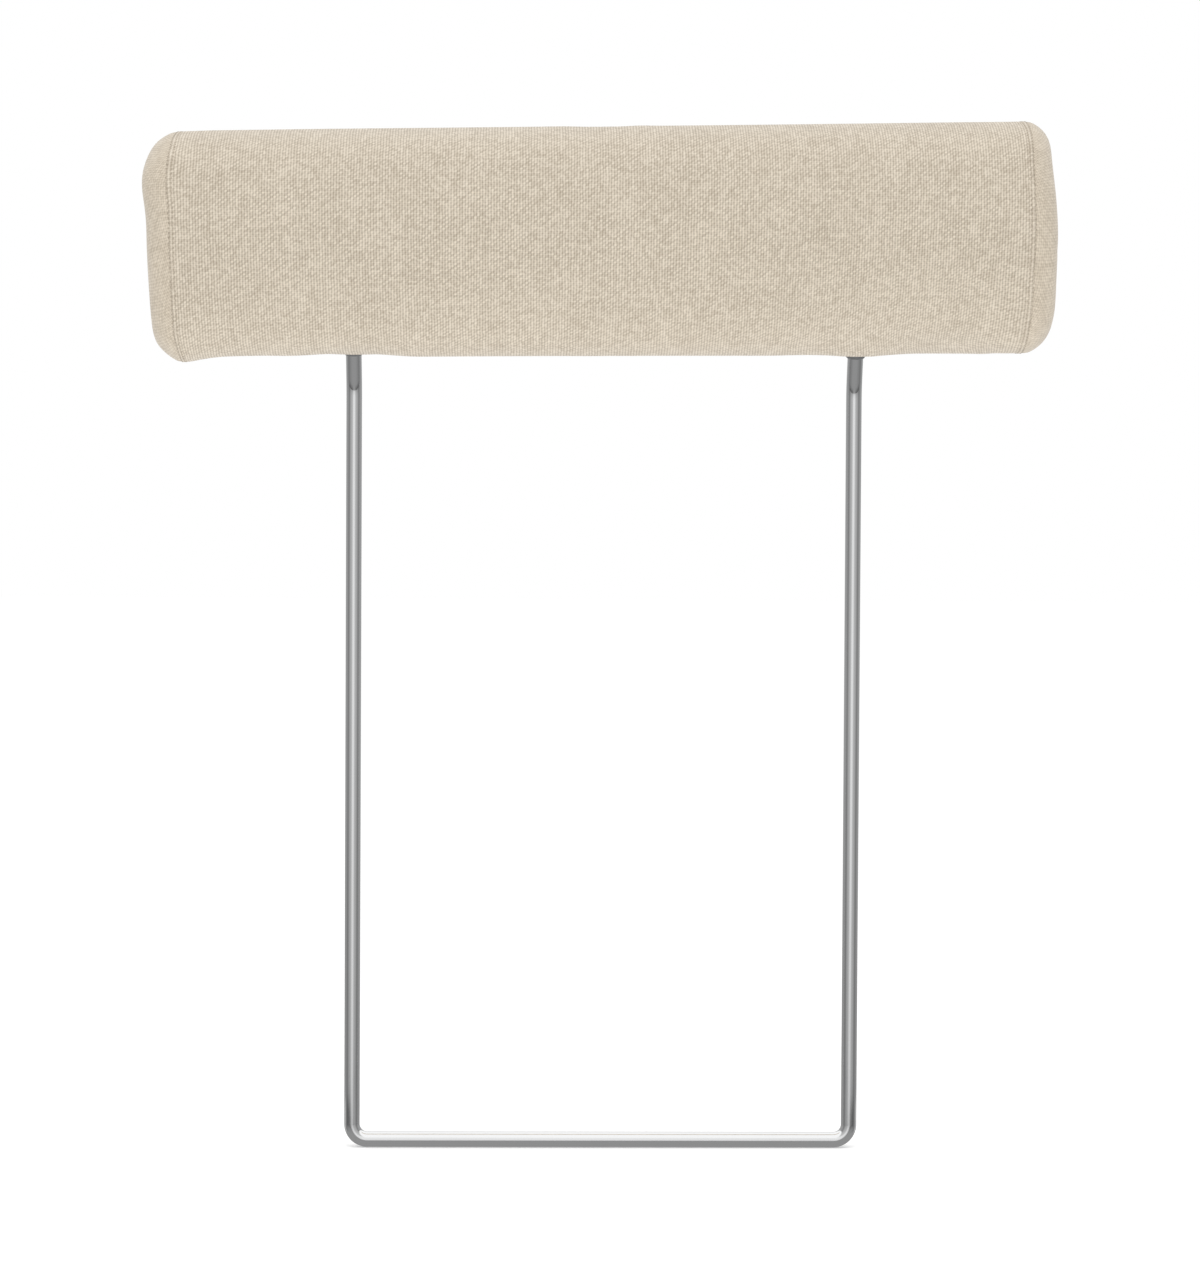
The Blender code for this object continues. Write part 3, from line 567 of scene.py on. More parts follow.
def pull_panel(form, edges, shift, scale_y, scale_z, panel, reach):
    pulled = bmesh.ops.extrude_edge_only(form, edges=edges)["geom"]
    corners = [item for item in pulled if isinstance(item, bmesh.types.BMVert)]
    bmesh.ops.scale(form, vec=(1, scale_y, scale_z), verts=corners)
    bmesh.ops.translate(form, vec=(shift, 0, 0), verts=corners)
    tag(form, pulled, panel, reach)
    return [item for item in pulled if isinstance(item, bmesh.types.BMEdge)]


def close_end(form, edges, side, panel):
    last_drop = 0.0
    last_rise = 0.0
    for step in range(1, END_ROUND_STEPS + 1):
        turn = math.radians(90 * step / END_ROUND_STEPS)
        drop = END_ROUND * (1 - math.cos(turn))
        rise = END_ROUND * math.sin(turn)
        scale_y = (HALF_DEPTH - drop) / (HALF_DEPTH - last_drop)
        scale_z = (HALF_HEIGHT - drop) / (HALF_HEIGHT - last_drop)
        shift = side * (rise - last_rise)
        edges = pull_panel(form, edges, shift, scale_y, scale_z, panel, -END_ROUND * turn)
        last_drop = drop
        last_rise = rise
    for outer, inner in zip(END_RINGS, END_RINGS[1:]):
        rise = END_CROWN * (outer**2 - inner**2)
        reach = -END_ROUND * math.pi / 2 - (1 - inner) * (HALF_DEPTH - END_ROUND)
        edges = pull_panel(form, edges, side * rise, inner / outer, inner / outer, panel, reach)
    capped = bmesh.ops.contextual_create(form, geom=edges)["faces"]
    poked = bmesh.ops.poke(form, faces=capped)
    tag(form, poked["faces"] + poked["verts"], panel, -HALF_DEPTH)


SLEEVE, LEFT_END, RIGHT_END = 0, 1, 2
skin = bmesh.new()
skin.faces.layers.int.new("panel")
for note in ("reach", "along", "girth"):
    skin.verts.layers.float.new(note)
bmesh.ops.create_circle(skin, segments=len(rows), radius=1.0)
for corner, row in zip(skin.verts, rows):
    corner.co = (columns[0], *place_round(row))
tag(skin, skin.verts, SLEEVE, 0.0)
first_ring = list(skin.edges)
ring = first_ring
for before, here in zip(columns, columns[1:]):
    ring = pull_panel(skin, ring, here - before, 1.0, 1.0, SLEEVE, JOINT - abs(here))
close_end(skin, ring, 1, RIGHT_END)
close_end(skin, first_ring, -1, LEFT_END)
bmesh.ops.recalc_face_normals(skin, faces=skin.faces)
print(len(skin.faces), "faces, open edges:", sum(edge.is_boundary for edge in skin.edges))

# %% [markdown]
# ## The weave's map
# The sleeve is a flat panel wrapped round the cushion, so its map is simply the two lengths. An end
# panel is a flat piece whose rim is drawn over the soft edge, so its map grows outwards from the
# middle by the length over the edge. The end panels are cut with the threads running front to
# back, and the left one is sewn in a little turned, as the photograph shows.

# %% Lay the map
GRAIN = {LEFT_END: math.radians(20.0), RIGHT_END: math.radians(4.0)}


def end_spot(place):
    """The spot of an end panel's cloth, laid flat, that ends up at a place."""
    rise = min(END_ROUND, abs(place.x) - JOINT)
    turn = math.asin(max(0.0, min(1.0, rise / END_ROUND)))
    if abs(place.x) - JOINT >= END_ROUND - SAME_PLACE:
        return Vector((place.y, place.z))
    drop = END_ROUND * (1 - math.cos(turn))
    y = place.y * (HALF_DEPTH - END_ROUND) / (HALF_DEPTH - drop)
    z = place.z * (HALF_HEIGHT - END_ROUND) / (HALF_HEIGHT - drop)
    slope_y = math.copysign((abs(place.y) / HALF_DEPTH) ** (SECTION_POWER - 1) / HALF_DEPTH, y)
    slope_z = math.copysign((abs(place.z) / HALF_HEIGHT) ** (SECTION_POWER - 1) / HALF_HEIGHT, z)
    outwards = Vector((slope_y, slope_z)).normalized()
    return Vector((y, z)) + outwards * END_ROUND * (math.pi / 2 - turn)


def lay_map(form):
    weave = form.loops.layers.uv.new("weave")
    panel_note = form.faces.layers.int["panel"]
    girth_note = form.verts.layers.float["girth"]
    for face in form.faces:
        panel = face[panel_note]
        if panel == SLEEVE:
            wraps = max(corner[girth_note] for corner in face.verts) > GIRTH / 2
            for loop in face.loops:
                girth = loop.vert[girth_note]
                if wraps and girth < GIRTH / 4:
                    girth += GIRTH
                loop[weave].uv = (loop.vert.co.x, girth)
        else:
            for loop in face.loops:
                spot = end_spot(loop.vert.co)
                spot.rotate(Matrix.Rotation(GRAIN[panel], 2))
                loop[weave].uv = (spot.y, spot.x)


lay_map(skin)
print("map laid on", len(skin.faces), "faces")

# %% [markdown]
# ## Stuffing the cushion
# The skin is blown up with Blender's cloth, which gives it the slight unevenness of real stuffing.
# It starts a little too small, gets a pressure from inside and no gravity, and is gathered along
# both seams, where sewing shortens cloth. The zip's slot and the rod holes are held in place, since
# the parts there are rigid. Only the fine unevenness is kept: the broad growth is taken off again,
# because it flared the ends, and the rest is softly capped at about a millimetre. The cloth
# modifier is gone after.

# %% Values for the stuffing
START_SMALLER = 0.0012
MOST_MOVE = 0.0011
KEPT_SHARE = 0.5
SMOOTH_ROUNDS = 60
LAST_FRAME = 20
SAME_RING = 0.0004
ZIP_MARGIN = 0.012
HELD_ROUND_HOLE = 0.0135
PAST_ZIP_END = (0.290, 0.322)
PAST_ZIP_SIDE = (0.014, 0.065)
PAST_HOLE = (HELD_ROUND_HOLE, 0.055)
CLOTH_SETTINGS = {
    "quality": 6,
    "mass": 0.25,
    "tension_stiffness": 40,
    "compression_stiffness": 40,
    "shear_stiffness": 12,
    "bending_stiffness": 1.2,
    "use_pressure": True,
    "uniform_pressure_force": 4,
    "vertex_group_mass": "pins",
    "vertex_group_shrink": "gather",
    "shrink_min": 0.0,
    "shrink_max": 0.02,
}
print("blown up over", LAST_FRAME, "frames")

# %% Read the skin
skin_mesh = bpy.data.meshes.new("skin")
skin.to_mesh(skin_mesh)
skin.free()
notes = {}
for note in ("reach", "along", "girth"):
    notes[note] = np.zeros(len(skin_mesh.vertices), np.float32)
    skin_mesh.attributes[note].data.foreach_get("value", notes[note])


def places_of(mesh):
    flat = np.zeros(len(mesh.vertices) * 3, np.float32)
    mesh.vertices.foreach_get("co", flat)
    return flat.reshape(-1, 3).astype(float)


def normals_of(mesh):
    flat = np.zeros(len(mesh.vertices) * 3, np.float32)
    mesh.vertex_normals.foreach_get("vector", flat)
    return flat.reshape(-1, 3).astype(float)


drawn_places = places_of(skin_mesh)
drawn_normals = normals_of(skin_mesh)
from_zip = np.minimum(notes["girth"], GIRTH - notes["girth"])
on_sleeve = notes["reach"] > -0.0001
in_length = np.abs(notes["along"]) < SLOT_HALF_LENGTH + ZIP_MARGIN
by_zip = on_sleeve & (from_zip < TAPE_EDGE + 0.001) & in_length
hole_distance = np.hypot(np.abs(notes["along"]) - LEG_PLACE, notes["girth"] - ROD_GIRTH)
by_hole = on_sleeve & (hole_distance < HELD_ROUND_HOLE)
held = by_zip | by_hole
print(len(drawn_places), "points,", int(held.sum()), "of them held")


# %% Blow up the skin
def blow_up(start):
    """Runs the cloth on the skin and returns where its corners end up."""
    skin_mesh.vertices.foreach_set("co", start.astype(np.float32).ravel())
    balloon = bpy.data.objects.new("balloon", skin_mesh)
    bpy.context.scene.collection.objects.link(balloon)
    for name, chosen in (("pins", held), ("gather", np.abs(notes["reach"]) < 0.001)):
        group = balloon.vertex_groups.new(name=name)
        group.add([int(index) for index in np.flatnonzero(chosen)], 1.0, "REPLACE")
    cloth = balloon.modifiers.new("cloth", "CLOTH")
    for setting, value in CLOTH_SETTINGS.items():
        setattr(cloth.settings, setting, value)
    cloth.settings.effector_weights.gravity = 0
    cloth.point_cache.frame_end = LAST_FRAME
    for number in range(1, LAST_FRAME + 1):
        bpy.context.scene.frame_set(number)
    settled = places_of(balloon.evaluated_get(bpy.context.evaluated_depsgraph_get()).data)
    bpy.context.scene.frame_set(1)
    bpy.data.objects.remove(balloon)
    return settled


# %% Helpers over the net
joins = np.zeros(len(skin_mesh.edges) * 2, np.int32)
skin_mesh.edges.foreach_get("vertices", joins)
one_end, other_end = joins.reshape(-1, 2).T
count = len(drawn_places)
links = np.bincount(joins, minlength=count)


def smoothed(values, rounds):
    """Spreads values over the net, each time halfway to the mean of the neighbours."""
    for turn in range(rounds):
        around = np.bincount(one_end, values[other_end], count)
        around = around + np.bincount(other_end, values[one_end], count)
        values = (values + around / links) / 2
    return values


def mean_of_each(values, keys):
    """Gives each point the mean of all the points that share its key."""
    ring_of = np.unique(np.round(keys / SAME_RING), return_inverse=True)[1]
    return (np.bincount(ring_of, values) / np.bincount(ring_of))[ring_of]


def fade(value, start, end):
    """Rises softly from 0 at the start to 1 at the end."""
    share = np.clip((value - start) / (end - start), 0.0, 1.0)
    return share * share * (3 - 2 * share)


# %% Keep the fine unevenness
beyond_zip = fade(np.abs(notes["along"]), *PAST_ZIP_END)
loose = 1 - (1 - fade(from_zip, *PAST_ZIP_SIDE)) * (1 - beyond_zip)
off_hole = fade(hole_distance, *PAST_HOLE)
loose *= off_hole
swell = np.zeros(len(drawn_places))
smaller = drawn_places - drawn_normals * np.where(held, 0.0, START_SMALLER)[:, None]
swell = ((blow_up(smaller) - drawn_places) * drawn_normals).sum(axis=1)
swell -= smoothed(swell, SMOOTH_ROUNDS)
swell -= mean_of_each(swell, np.sign(drawn_places[:, 0]) * (JOINT - notes["reach"]))
spread_out = [round(1000 * float(value), 2) for value in np.percentile(swell, (1, 25, 75, 99))]
print("uneven by", spread_out, "mm")
swell = MOST_MOVE * np.tanh(KEPT_SHARE * swell / MOST_MOVE)
stuffed = drawn_places + drawn_normals * (swell * loose)[:, None]

# %% [markdown]
# ## How this cushion sits
# The photographed cushion isn't a perfect bar. It sits on its rods a little rolled, the right end
# higher; the stuffing has sunk to the two lower corners, which bulge down beside the seams; and the
# left end is fullest high up, while the right one is fullest low down. The right end is also drawn
# in by some 8 mm, the lower edge is drawn up between the right rod and its corner, and the cloth
# lies a millimetre higher round the right rod. These are soft moves of the skin, in the upright
# frame, that fade out at the rigid zip and rod holes.

# %% Soft moves of this cushion
ROLL = math.radians(1.0)
# Swells of the left and the right end: the height of the middle, the width and the size of each.
END_SWELL = {
    -1: (
        (0.744, 0.022, 0.0045),
        (0.690, 0.020, 0.0005),
        (0.610, 0.011, -0.0060),
        (0.787, 0.008, -0.0040),
    ),
    1: (
        (0.684, 0.030, 0.0027),
        (0.748, 0.022, -0.0020),
        (0.636, 0.028, 0.0042),
        (0.785, 0.010, -0.0018),
    ),
}
END_ZONE = (0.305, 0.345)
CORNER_SAG = 0.0016
SAG_FROM, SAG_REACH = 0.660, 0.035
SAG_MIDDLE, SAG_WIDTH = 0.318, 0.022
RIGHT_END_IN = 0.0078
RIGHT_PULL = (0.06, 0.325)
TOP_ZONE = (0.71, 0.76)
LOW_FROM, LOW_REACH = 0.68, 0.04
# How much the top and the lower edge are lifted, from place to place along the cushion.
TOP_LIFT = (
    (-0.33, -0.0012),
    (-0.30, 0.0),
    (-0.20, 0.0006),
    (-0.08, 0.0009),
    (0.28, 0.0008),
    (0.33, 0.0004),
)
LOW_LIFT = (
    (-0.32, 0.0),
    (-0.26, 0.0012),
    (-0.19, -0.0010),
    (0.13, -0.0012),
    (0.22, 0.0042),
    (0.282, 0.0048),
    (0.31, 0.0),
    (0.33, -0.0010),
)
LIP_COVER = 0.0009
POUT_REACH, POUT_WIDTH = 0.0125, 0.0040
RIGHT_HOLE_LIFT = 0.0009
print("right end drawn in by", 1000 * RIGHT_END_IN, "mm")


# %% Settle the skin
def hump(value, middle, width):
    return np.exp(-(((value - middle) / width) ** 2))


settled = stuffed @ np.array(CUSHION.to_3x3()).T + np.array(CUSHION.translation)
x, y, z = settled.T
drop = np.zeros_like(z)
spread = np.zeros_like(x)
for side in (-1, 1):
    outer = fade(side * x, *END_ZONE)
    for level, width, size in END_SWELL[side]:
        spread += side * outer * size * hump(z, level, width)
    low = fade(SAG_FROM - z, 0.0, SAG_REACH)
    drop += CORNER_SAG * low * hump(side * x, SAG_MIDDLE, SAG_WIDTH)
spread -= RIGHT_END_IN * fade(x, *RIGHT_PULL)
drop -= fade(z, *TOP_ZONE) * np.interp(x, *zip(*TOP_LIFT))
drop -= fade(LOW_FROM - z, 0.0, LOW_REACH) * np.interp(x, *zip(*LOW_LIFT))
pout = LIP_COVER * hump(hole_distance, POUT_REACH, POUT_WIDTH) * on_sleeve
rise = (x * math.tan(ROLL) - drop) * loose - pout
rise += RIGHT_HOLE_LIFT * (1 - off_hole) * on_sleeve * (x > 0)
settled = settled + np.stack((spread * loose, np.zeros_like(x), rise), axis=1)
skin_mesh.vertices.foreach_set("co", settled.astype(np.float32).ravel())
skin_mesh.update()
print("rolled by", round(math.degrees(ROLL), 2), "degrees")

# %% [markdown]
# ## Seams
# At each end the sleeve and the end panel are sewn together, the spare cloth lies inside under the
# sleeve, and a second row of stitches beside the joint holds it down. So, going in from the end,
# there is a narrow valley at the joint, a low welt, and a shallow groove. Both hold stitches. The
# net is refined beside the joint only, and its points are then pressed in or out by those depths.

# %% Press in the seams
SEAM_PROFILE = (
    (-0.00450, 0.0000),
    (-0.00339, -0.0001),
    (-0.00226, 0.0000),
    (-0.00113, 0.0002),
    (0.0, 0.00025),
    (0.0007, 0.0002),
    (0.0014, -0.0001),
    (0.0020, -0.0002),
    (0.0027, 0.0001),
    (0.0034, 0.0003),
    (0.0041, 0.0002),
    (0.00475, 0.0000),
)
STITCH_REACH = 0.0034
NEAR = 0.0002
CUTS_BESIDE = ((1, 6), (-1, 4))
cover_form = bmesh.new()
cover_form.from_mesh(skin_mesh)
reach_note = cover_form.verts.layers.float["reach"]


def beside_joint(edge, side):
    near, far = sorted((corner[reach_note] for corner in edge.verts), key=abs)
    return abs(near) < 0.0001 and side * far > 0.001


for side, cuts in CUTS_BESIDE:
    strip = [edge for edge in cover_form.edges if beside_joint(edge, side)]
    bmesh.ops.subdivide_edges(cover_form, edges=strip, cuts=cuts, use_grid_fill=True)
cover_form.normal_update()
profile_reach, profile_depth = zip(*SEAM_PROFILE)
pressed = []
for corner in cover_form.verts:
    depth = float(np.interp(corner[reach_note], profile_reach, profile_depth))
    pressed.append(corner.co - corner.normal * depth)
for corner, place in zip(cover_form.verts, pressed):
    corner.co = place
print("cover net now has", len(cover_form.faces), "faces")

# %% [markdown]
# ## Woven cloth
# The cloth is a coarse twill of thick slubby yarn: ribs about 2.1 mm apart run round the cushion,
# rows about 1.6 mm apart run along it, and the yarn steps on by one rib in each row, which gives
# the slanting lines. Ribs, rows and slant are three waves over the map; they raise the bump, and
# they are also painted into the colour as shade, lighter on their tops and darker in the hollows.
# Every crossing gets its own random tone, every rib its own thickness, and slow cloudy noise gives
# the mottled look of the photograph. The end panels take the same yarns calmer, and a little
# lighter: painted light that makes up for the less light they get as they turn away.

# %% Sizes and shades of the weave
RIB_PITCH = 0.00212
ROW_PITCH = 0.00164
SWAY = 0.0011
RIB_HEIGHT = 0.27
ROW_HEIGHT = 0.25
TWILL_HEIGHT = 0.105
MIDDLE_HEIGHT = 0.5
WARP_STEP, WARP_STRETCH = 7.31, 0.16
WEFT_STEP, WEFT_STRETCH = 5.77, 0.14
# How strongly the relief of ribs, rows and slant is painted into the colour as shade.
RELIEF_PAINTED_SHADE = 1.15
KNOT_SHADE, WARP_SHADE, WEFT_SHADE, CLOUD_SHADE, HAIR_SHADE = 0.42, 0.38, 0.26, 0.24, 0.22
HAIR_RAISED, KNOT_RAISED = 0.25, 0.35
LIGHT_YARN = (0.758, 0.680, 0.566, 1)
DARK_YARN = (0.391, 0.328, 0.250, 1)
# The end panels' yarns are painted a little lighter than the sleeve's: painted light for panels
# that turn away and get less light.
LIGHT_END_YARN_PAINTED_LIGHTER = (0.780, 0.696, 0.574, 1)
DARK_END_YARN_PAINTED_LIGHTER = (0.402, 0.336, 0.254, 1)


def vectors(finish, operation, *sockets):
    return put(finish, "ShaderNodeVectorMath", sockets, operation=operation).outputs[0]


def wave(finish, place, size):
    """Highest in the middle of each rib or row."""
    turn = sums(finish, "MULTIPLY", sums(finish, "SUBTRACT", place, 0.5), math.tau)
    return sums(finish, "MULTIPLY", sums(finish, "COSINE", turn), size)


def thick_and_thin(finish, x, y):
    """The slubs of one set of yarns; the step from yarn to yarn is long, the one along it short."""
    spot = put(finish, "ShaderNodeCombineXYZ", [(0, x), (1, y)]).outputs[0]
    return noise(finish, spot, 1.0, 2.0)


# %% Weave a cloth
def weave_cloth(name, light, dark, rib_pitch, row_pitch, rib_share, contrast, roughness=0.92):
    plain = [("Specular IOR Level", 0.2), ("Sheen Weight", 0.30), ("Sheen Roughness", 0.5)]
    cloth, shader = new_finish(name, [("Roughness", roughness), *plain])
    spot = put(cloth, "ShaderNodeUVMap", uv_map="weave").outputs[0]
    sway = put(cloth, "ShaderNodeTexNoise", [("Vector", spot), ("Scale", 70.0), ("Detail", 2.0)])
    shift = vectors(cloth, "SUBTRACT", (0, sway.outputs["Color"]), (1, (0.5, 0.5, 0.5)))
    shift = vectors(cloth, "SCALE", (0, shift), ("Scale", SWAY))
    swayed = vectors(cloth, "ADD", (0, spot), (1, shift))
    place = put(cloth, "ShaderNodeSeparateXYZ", [(0, swayed)])
    rib_place = sums(cloth, "DIVIDE", place.outputs["X"], rib_pitch)
    row_place = sums(cloth, "DIVIDE", place.outputs["Y"], row_pitch)
    rib_number = sums(cloth, "FLOOR", rib_place)
    row_number = sums(cloth, "FLOOR", row_place)

    ribs = wave(cloth, rib_place, RIB_HEIGHT * rib_share)
    rows_high = wave(cloth, row_place, ROW_HEIGHT * (1.2 - rib_share))
    slope = sums(cloth, "MULTIPLY", sums(cloth, "ADD", rib_place, row_place), math.pi)
    twill = sums(cloth, "MULTIPLY", sums(cloth, "COSINE", slope), TWILL_HEIGHT)
    lifted = sums(cloth, "ADD", twill, MIDDLE_HEIGHT)
    height = sums(cloth, "ADD", sums(cloth, "ADD", ribs, rows_high), lifted)

    crossing = put(cloth, "ShaderNodeCombineXYZ", [(0, rib_number), (1, row_number)]).outputs[0]
    knot = put(cloth, "ShaderNodeTexWhiteNoise", [("Vector", crossing)], noise_dimensions="2D")
    warp_step = sums(cloth, "MULTIPLY", rib_number, WARP_STEP)
    warp = thick_and_thin(cloth, warp_step, sums(cloth, "MULTIPLY", row_place, WARP_STRETCH))
    weft_step = sums(cloth, "MULTIPLY", row_number, WEFT_STEP)
    weft = thick_and_thin(cloth, sums(cloth, "MULTIPLY", rib_place, WEFT_STRETCH), weft_step)
    cloud = noise(cloth, spot, 26.0, 4.0, ("Roughness", 0.6), ("Distortion", 0.4))
    hair = noise(cloth, spot, 2600.0, 2.0)
    # Painted shade: the relief darkens the colour in the hollows and lightens it on the tops;
    # random tones are added to it.
    tone_and_painted_shade = sums(cloth, "MULTIPLY", sums(cloth, "SUBTRACT", height, MIDDLE_HEIGHT), RELIEF_PAINTED_SHADE)
    for source, size in (
        (knot.outputs["Value"], KNOT_SHADE),
        (warp, WARP_SHADE),
        (weft, WEFT_SHADE),
        (cloud, CLOUD_SHADE),
        (hair, HAIR_SHADE),
    ):
        change = sums(cloth, "MULTIPLY", sums(cloth, "SUBTRACT", source, 0.5), size)
        tone_and_painted_shade = sums(cloth, "ADD", tone_and_painted_shade, change)
    tone_and_painted_shade = sums(cloth, "MULTIPLY_ADD", tone_and_painted_shade, contrast, 0.5)
    colour(cloth, shader, put(cloth, "ShaderNodeClamp", [("Value", tone_and_painted_shade)]).outputs[0], dark, light)
    raised = sums(cloth, "MULTIPLY_ADD", hair, HAIR_RAISED, height)
    raised = sums(cloth, "MULTIPLY_ADD", knot.outputs["Value"], KNOT_RAISED, raised)
    bump(cloth, shader, raised, 0.55, 0.0005)
    print(name, "ribs", 1000 * rib_pitch, "mm apart")
    return cloth


pitches = (RIB_PITCH, ROW_PITCH)
woven = weave_cloth("woven_fabric", LIGHT_YARN, DARK_YARN, *pitches, 0.88, 1.0)
# The end panels' cloth is a lighter copy of the sleeve cloth, painted light for their sideways
# faces.
painted_lighter_end_yarns = (LIGHT_END_YARN_PAINTED_LIGHTER, DARK_END_YARN_PAINTED_LIGHTER)
painted_lighter_end_cloth = weave_cloth("woven_fabric_ends_painted_lighter", *painted_lighter_end_yarns, *pitches, 0.55, 0.66)

# %% [markdown]
# ## The three panels of the cover
# The skin is now cut up along the joints. The sleeve gets its two rod holes, which are moved to
# true circles about the rods, and the slot for the zip. At each opening the cloth is turned
# inwards, as a hem is. One level of subdivision rounds the net, and a wall of 0.9 mm makes it
# cloth.

# %% Cut the panels
HOLE_RADIUS = 0.0077
HEM = 0.0022
CLOTH_WALL = 0.0009
RIM_SPAN = 0.008
RIM_MARGIN = 0.001


def take_panel(form, panel):
    taken = form.copy()
    panel_note = taken.faces.layers.int["panel"]
    others = [face for face in taken.faces if face[panel_note] != panel]
    bmesh.ops.delete(taken, geom=others, context="FACES")
    return taken


def within(face, along, girth, x, span_x, place, span_round):
    """True if a face lies wholly in a window of the net."""
    for corner in face.verts:
        gap = abs(corner[girth] - place)
        gap = min(gap, GIRTH - gap)
        if abs(corner[along] - x) > span_x + NEAR or gap > span_round + NEAR:
            return False
    return True


def cut_window(form, x, span_x, place, span_round, rim_x, rim_round):
    """Cuts a window out of the net and returns the edges of its rim."""
    along = form.verts.layers.float["along"]
    girth = form.verts.layers.float["girth"]
    net = (along, girth, x, span_x, place, span_round)
    window = [face for face in form.faces if within(face, *net)]
    bmesh.ops.delete(form, geom=window, context="FACES")

    def beside(corner):
        gap = abs(corner[girth] - place)
        return abs(corner[along] - x) < rim_x and min(gap, GIRTH - gap) < rim_round

    rim = [edge for edge in form.edges if edge.is_boundary and all(map(beside, edge.verts))]
    return rim, along, girth


def open_rod_hole(form, x, hem):
    spans = (HOLE_SPAN, ROD_GIRTH, HOLE_SPAN, RIM_SPAN, RIM_SPAN)
    rim, along, girth = cut_window(form, x, *spans)
    inward = CUSHION.inverted()
    for corner in {corner for edge in rim for corner in edge.verts}:
        toward = Vector((corner[along] - x, corner[girth] - ROD_GIRTH)).normalized() * HOLE_RADIUS
        local = inward @ corner.co
        corner.co = CUSHION @ Vector((x + toward.x, ROD_OFFSET + toward.y, local.z))
    if hem:
        pull(form, rim, CUSHION.to_3x3() @ Vector((0, 0, HEM)))
    print("rod hole with", len(rim), "edges")


def open_zip_slot(form):
    rims = (SLOT_HALF_LENGTH + RIM_MARGIN, SLOT_HALF_WIDTH + RIM_MARGIN)
    rim = cut_window(form, 0.0, SLOT_HALF_LENGTH, 0.0, SLOT_HALF_WIDTH, *rims)[0]
    pull(form, rim, ZIP_INWARD * HEM * 0.5)
    print("zip slot with", len(rim), "edges")


# %% Dress the cushion
foot = Vector((0, *place_round(0.0)))
slope_y = (foot.y / HALF_DEPTH) ** (SECTION_POWER - 1) / HALF_DEPTH
slope_z = -((-foot.z / HALF_HEIGHT) ** (SECTION_POWER - 1)) / HALF_HEIGHT
ZIP = CUSHION @ Matrix.Translation(foot) @ Matrix.Rotation(math.atan2(-slope_y, slope_z), 4, "X")
ZIP_INWARD = ZIP.to_3x3() @ Vector((0, 0, -1))


def soften(piece, wall, levels=1):
    """Rounds the net and gives it a wall inwards."""
    if levels:
        smooth = piece.modifiers.new("round", "SUBSURF")
        smooth.levels = levels
        smooth.render_levels = levels
    thick = piece.modifiers.new("wall", "SOLIDIFY")
    thick.thickness = wall
    thick.offset = -1


sleeve_form = take_panel(cover_form, SLEEVE)
for side in (-1, 1):
    open_rod_hole(sleeve_form, side * LEG_PLACE, True)
open_zip_slot(sleeve_form)
cover_sleeve = make_piece("cover_sleeve_cloth", sleeve_form, woven, "headrest")
soften(cover_sleeve, CLOTH_WALL)
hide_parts("cover_sleeve")

for panel, word in ((LEFT_END, "left"), (RIGHT_END, "right")):
    end_form = take_panel(cover_form, panel)
    name = f"cover_end_cloth_{word}"
    end_panel = make_piece(name, end_form, painted_lighter_end_cloth, "headrest")
    soften(end_panel, CLOTH_WALL)
    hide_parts(f"cover_end_{word}")

# %% [markdown]
# ## Stitches
# Both seams are sewn with a thread a little darker than the cloth, once in the joint and once in
# the groove beside it. Each visible stitch is a short fat bead of thread that is sunk between its
# two needle holes, so a stretched sphere with few faces is enough, and hundreds of them stay light.
# They follow the corners of the net in the joint and in the groove.

# %% Thread and one stitch
STITCH_PITCH = 0.0037
STITCH_HALF = 0.0009
THREAD_RADIUS = 0.00027
PROUD = 0.0001
BESIDE_SLOT = 0.0026
SLOT_SEAM_HALF = 0.283
SLOT_SEAM_POINTS = 60

thread, shader = new_finish("sewing_thread", [("Roughness", 0.6), ("Sheen Weight", 0.2)])
twist = noise(thread, object_spot(thread), 4000.0, 1.0)
colour(thread, shader, twist, (0.33, 0.28, 0.21, 1), (0.46, 0.39, 0.30, 1))

bead_form = bmesh.new()
bead_size = Matrix.Diagonal((STITCH_HALF, THREAD_RADIUS, THREAD_RADIUS, 1))
bmesh.ops.create_uvsphere(bead_form, u_segments=6, v_segments=4, radius=1.0, matrix=bead_size)
bead = bpy.data.meshes.new("bead")
bead_form.to_mesh(bead)
bead_form.free()


# %% Topstitch the seams
def sew(form, line, outwards, closed):
    """Lays stitches along a line of points; outwards gives the cloth's normal at each."""
    loop = line + [line[0]] if closed else line
    faces_out = outwards + [outwards[0]] if closed else outwards
    spans = [(after - before).length for before, after in zip(loop, loop[1:])]
    marks = np.concatenate(([0.0], np.cumsum(spans)))
    laid = int(marks[-1] / STITCH_PITCH)
    for number in range(laid):
        place = marks[-1] * (number + 0.5) / laid
        k = min(len(spans) - 1, int(np.searchsorted(marks, place, side="right")) - 1)
        share = (place - marks[k]) / (marks[k + 1] - marks[k])
        middle = loop[k].lerp(loop[k + 1], share)
        forward = (loop[k + 1] - loop[k]).normalized()
        outward = faces_out[k].lerp(faces_out[k + 1], share)
        outward = (outward - forward * outward.dot(forward)).normalized()
        stand = Matrix((forward, outward.cross(forward), outward)).transposed().to_4x4()
        settled_bead = bead.copy()
        settled_bead.transform(Matrix.Translation(middle) @ stand)
        form.from_mesh(settled_bead)
        bpy.data.meshes.remove(settled_bead)
    return laid


cover_form.normal_update()
girth_note = cover_form.verts.layers.float["girth"]
for side, word in ((-1, "left"), (1, "right")):
    form = bmesh.new()
    laid = 0
    for reach in (0.0, STITCH_REACH):
        groove = [c for c in cover_form.verts if abs(c[reach_note] - reach) < NEAR]
        groove = [c for c in groove if side * c.co.x > 0]
        groove.sort(key=lambda corner: corner[girth_note])
        line = [c.co + c.normal * PROUD for c in groove]
        laid += sew(form, line, [c.normal.copy() for c in groove], True)
    make_piece(f"seam_stitches_{word}", form, thread, "headrest")
    print(laid, "stitches in the", word, "seam")

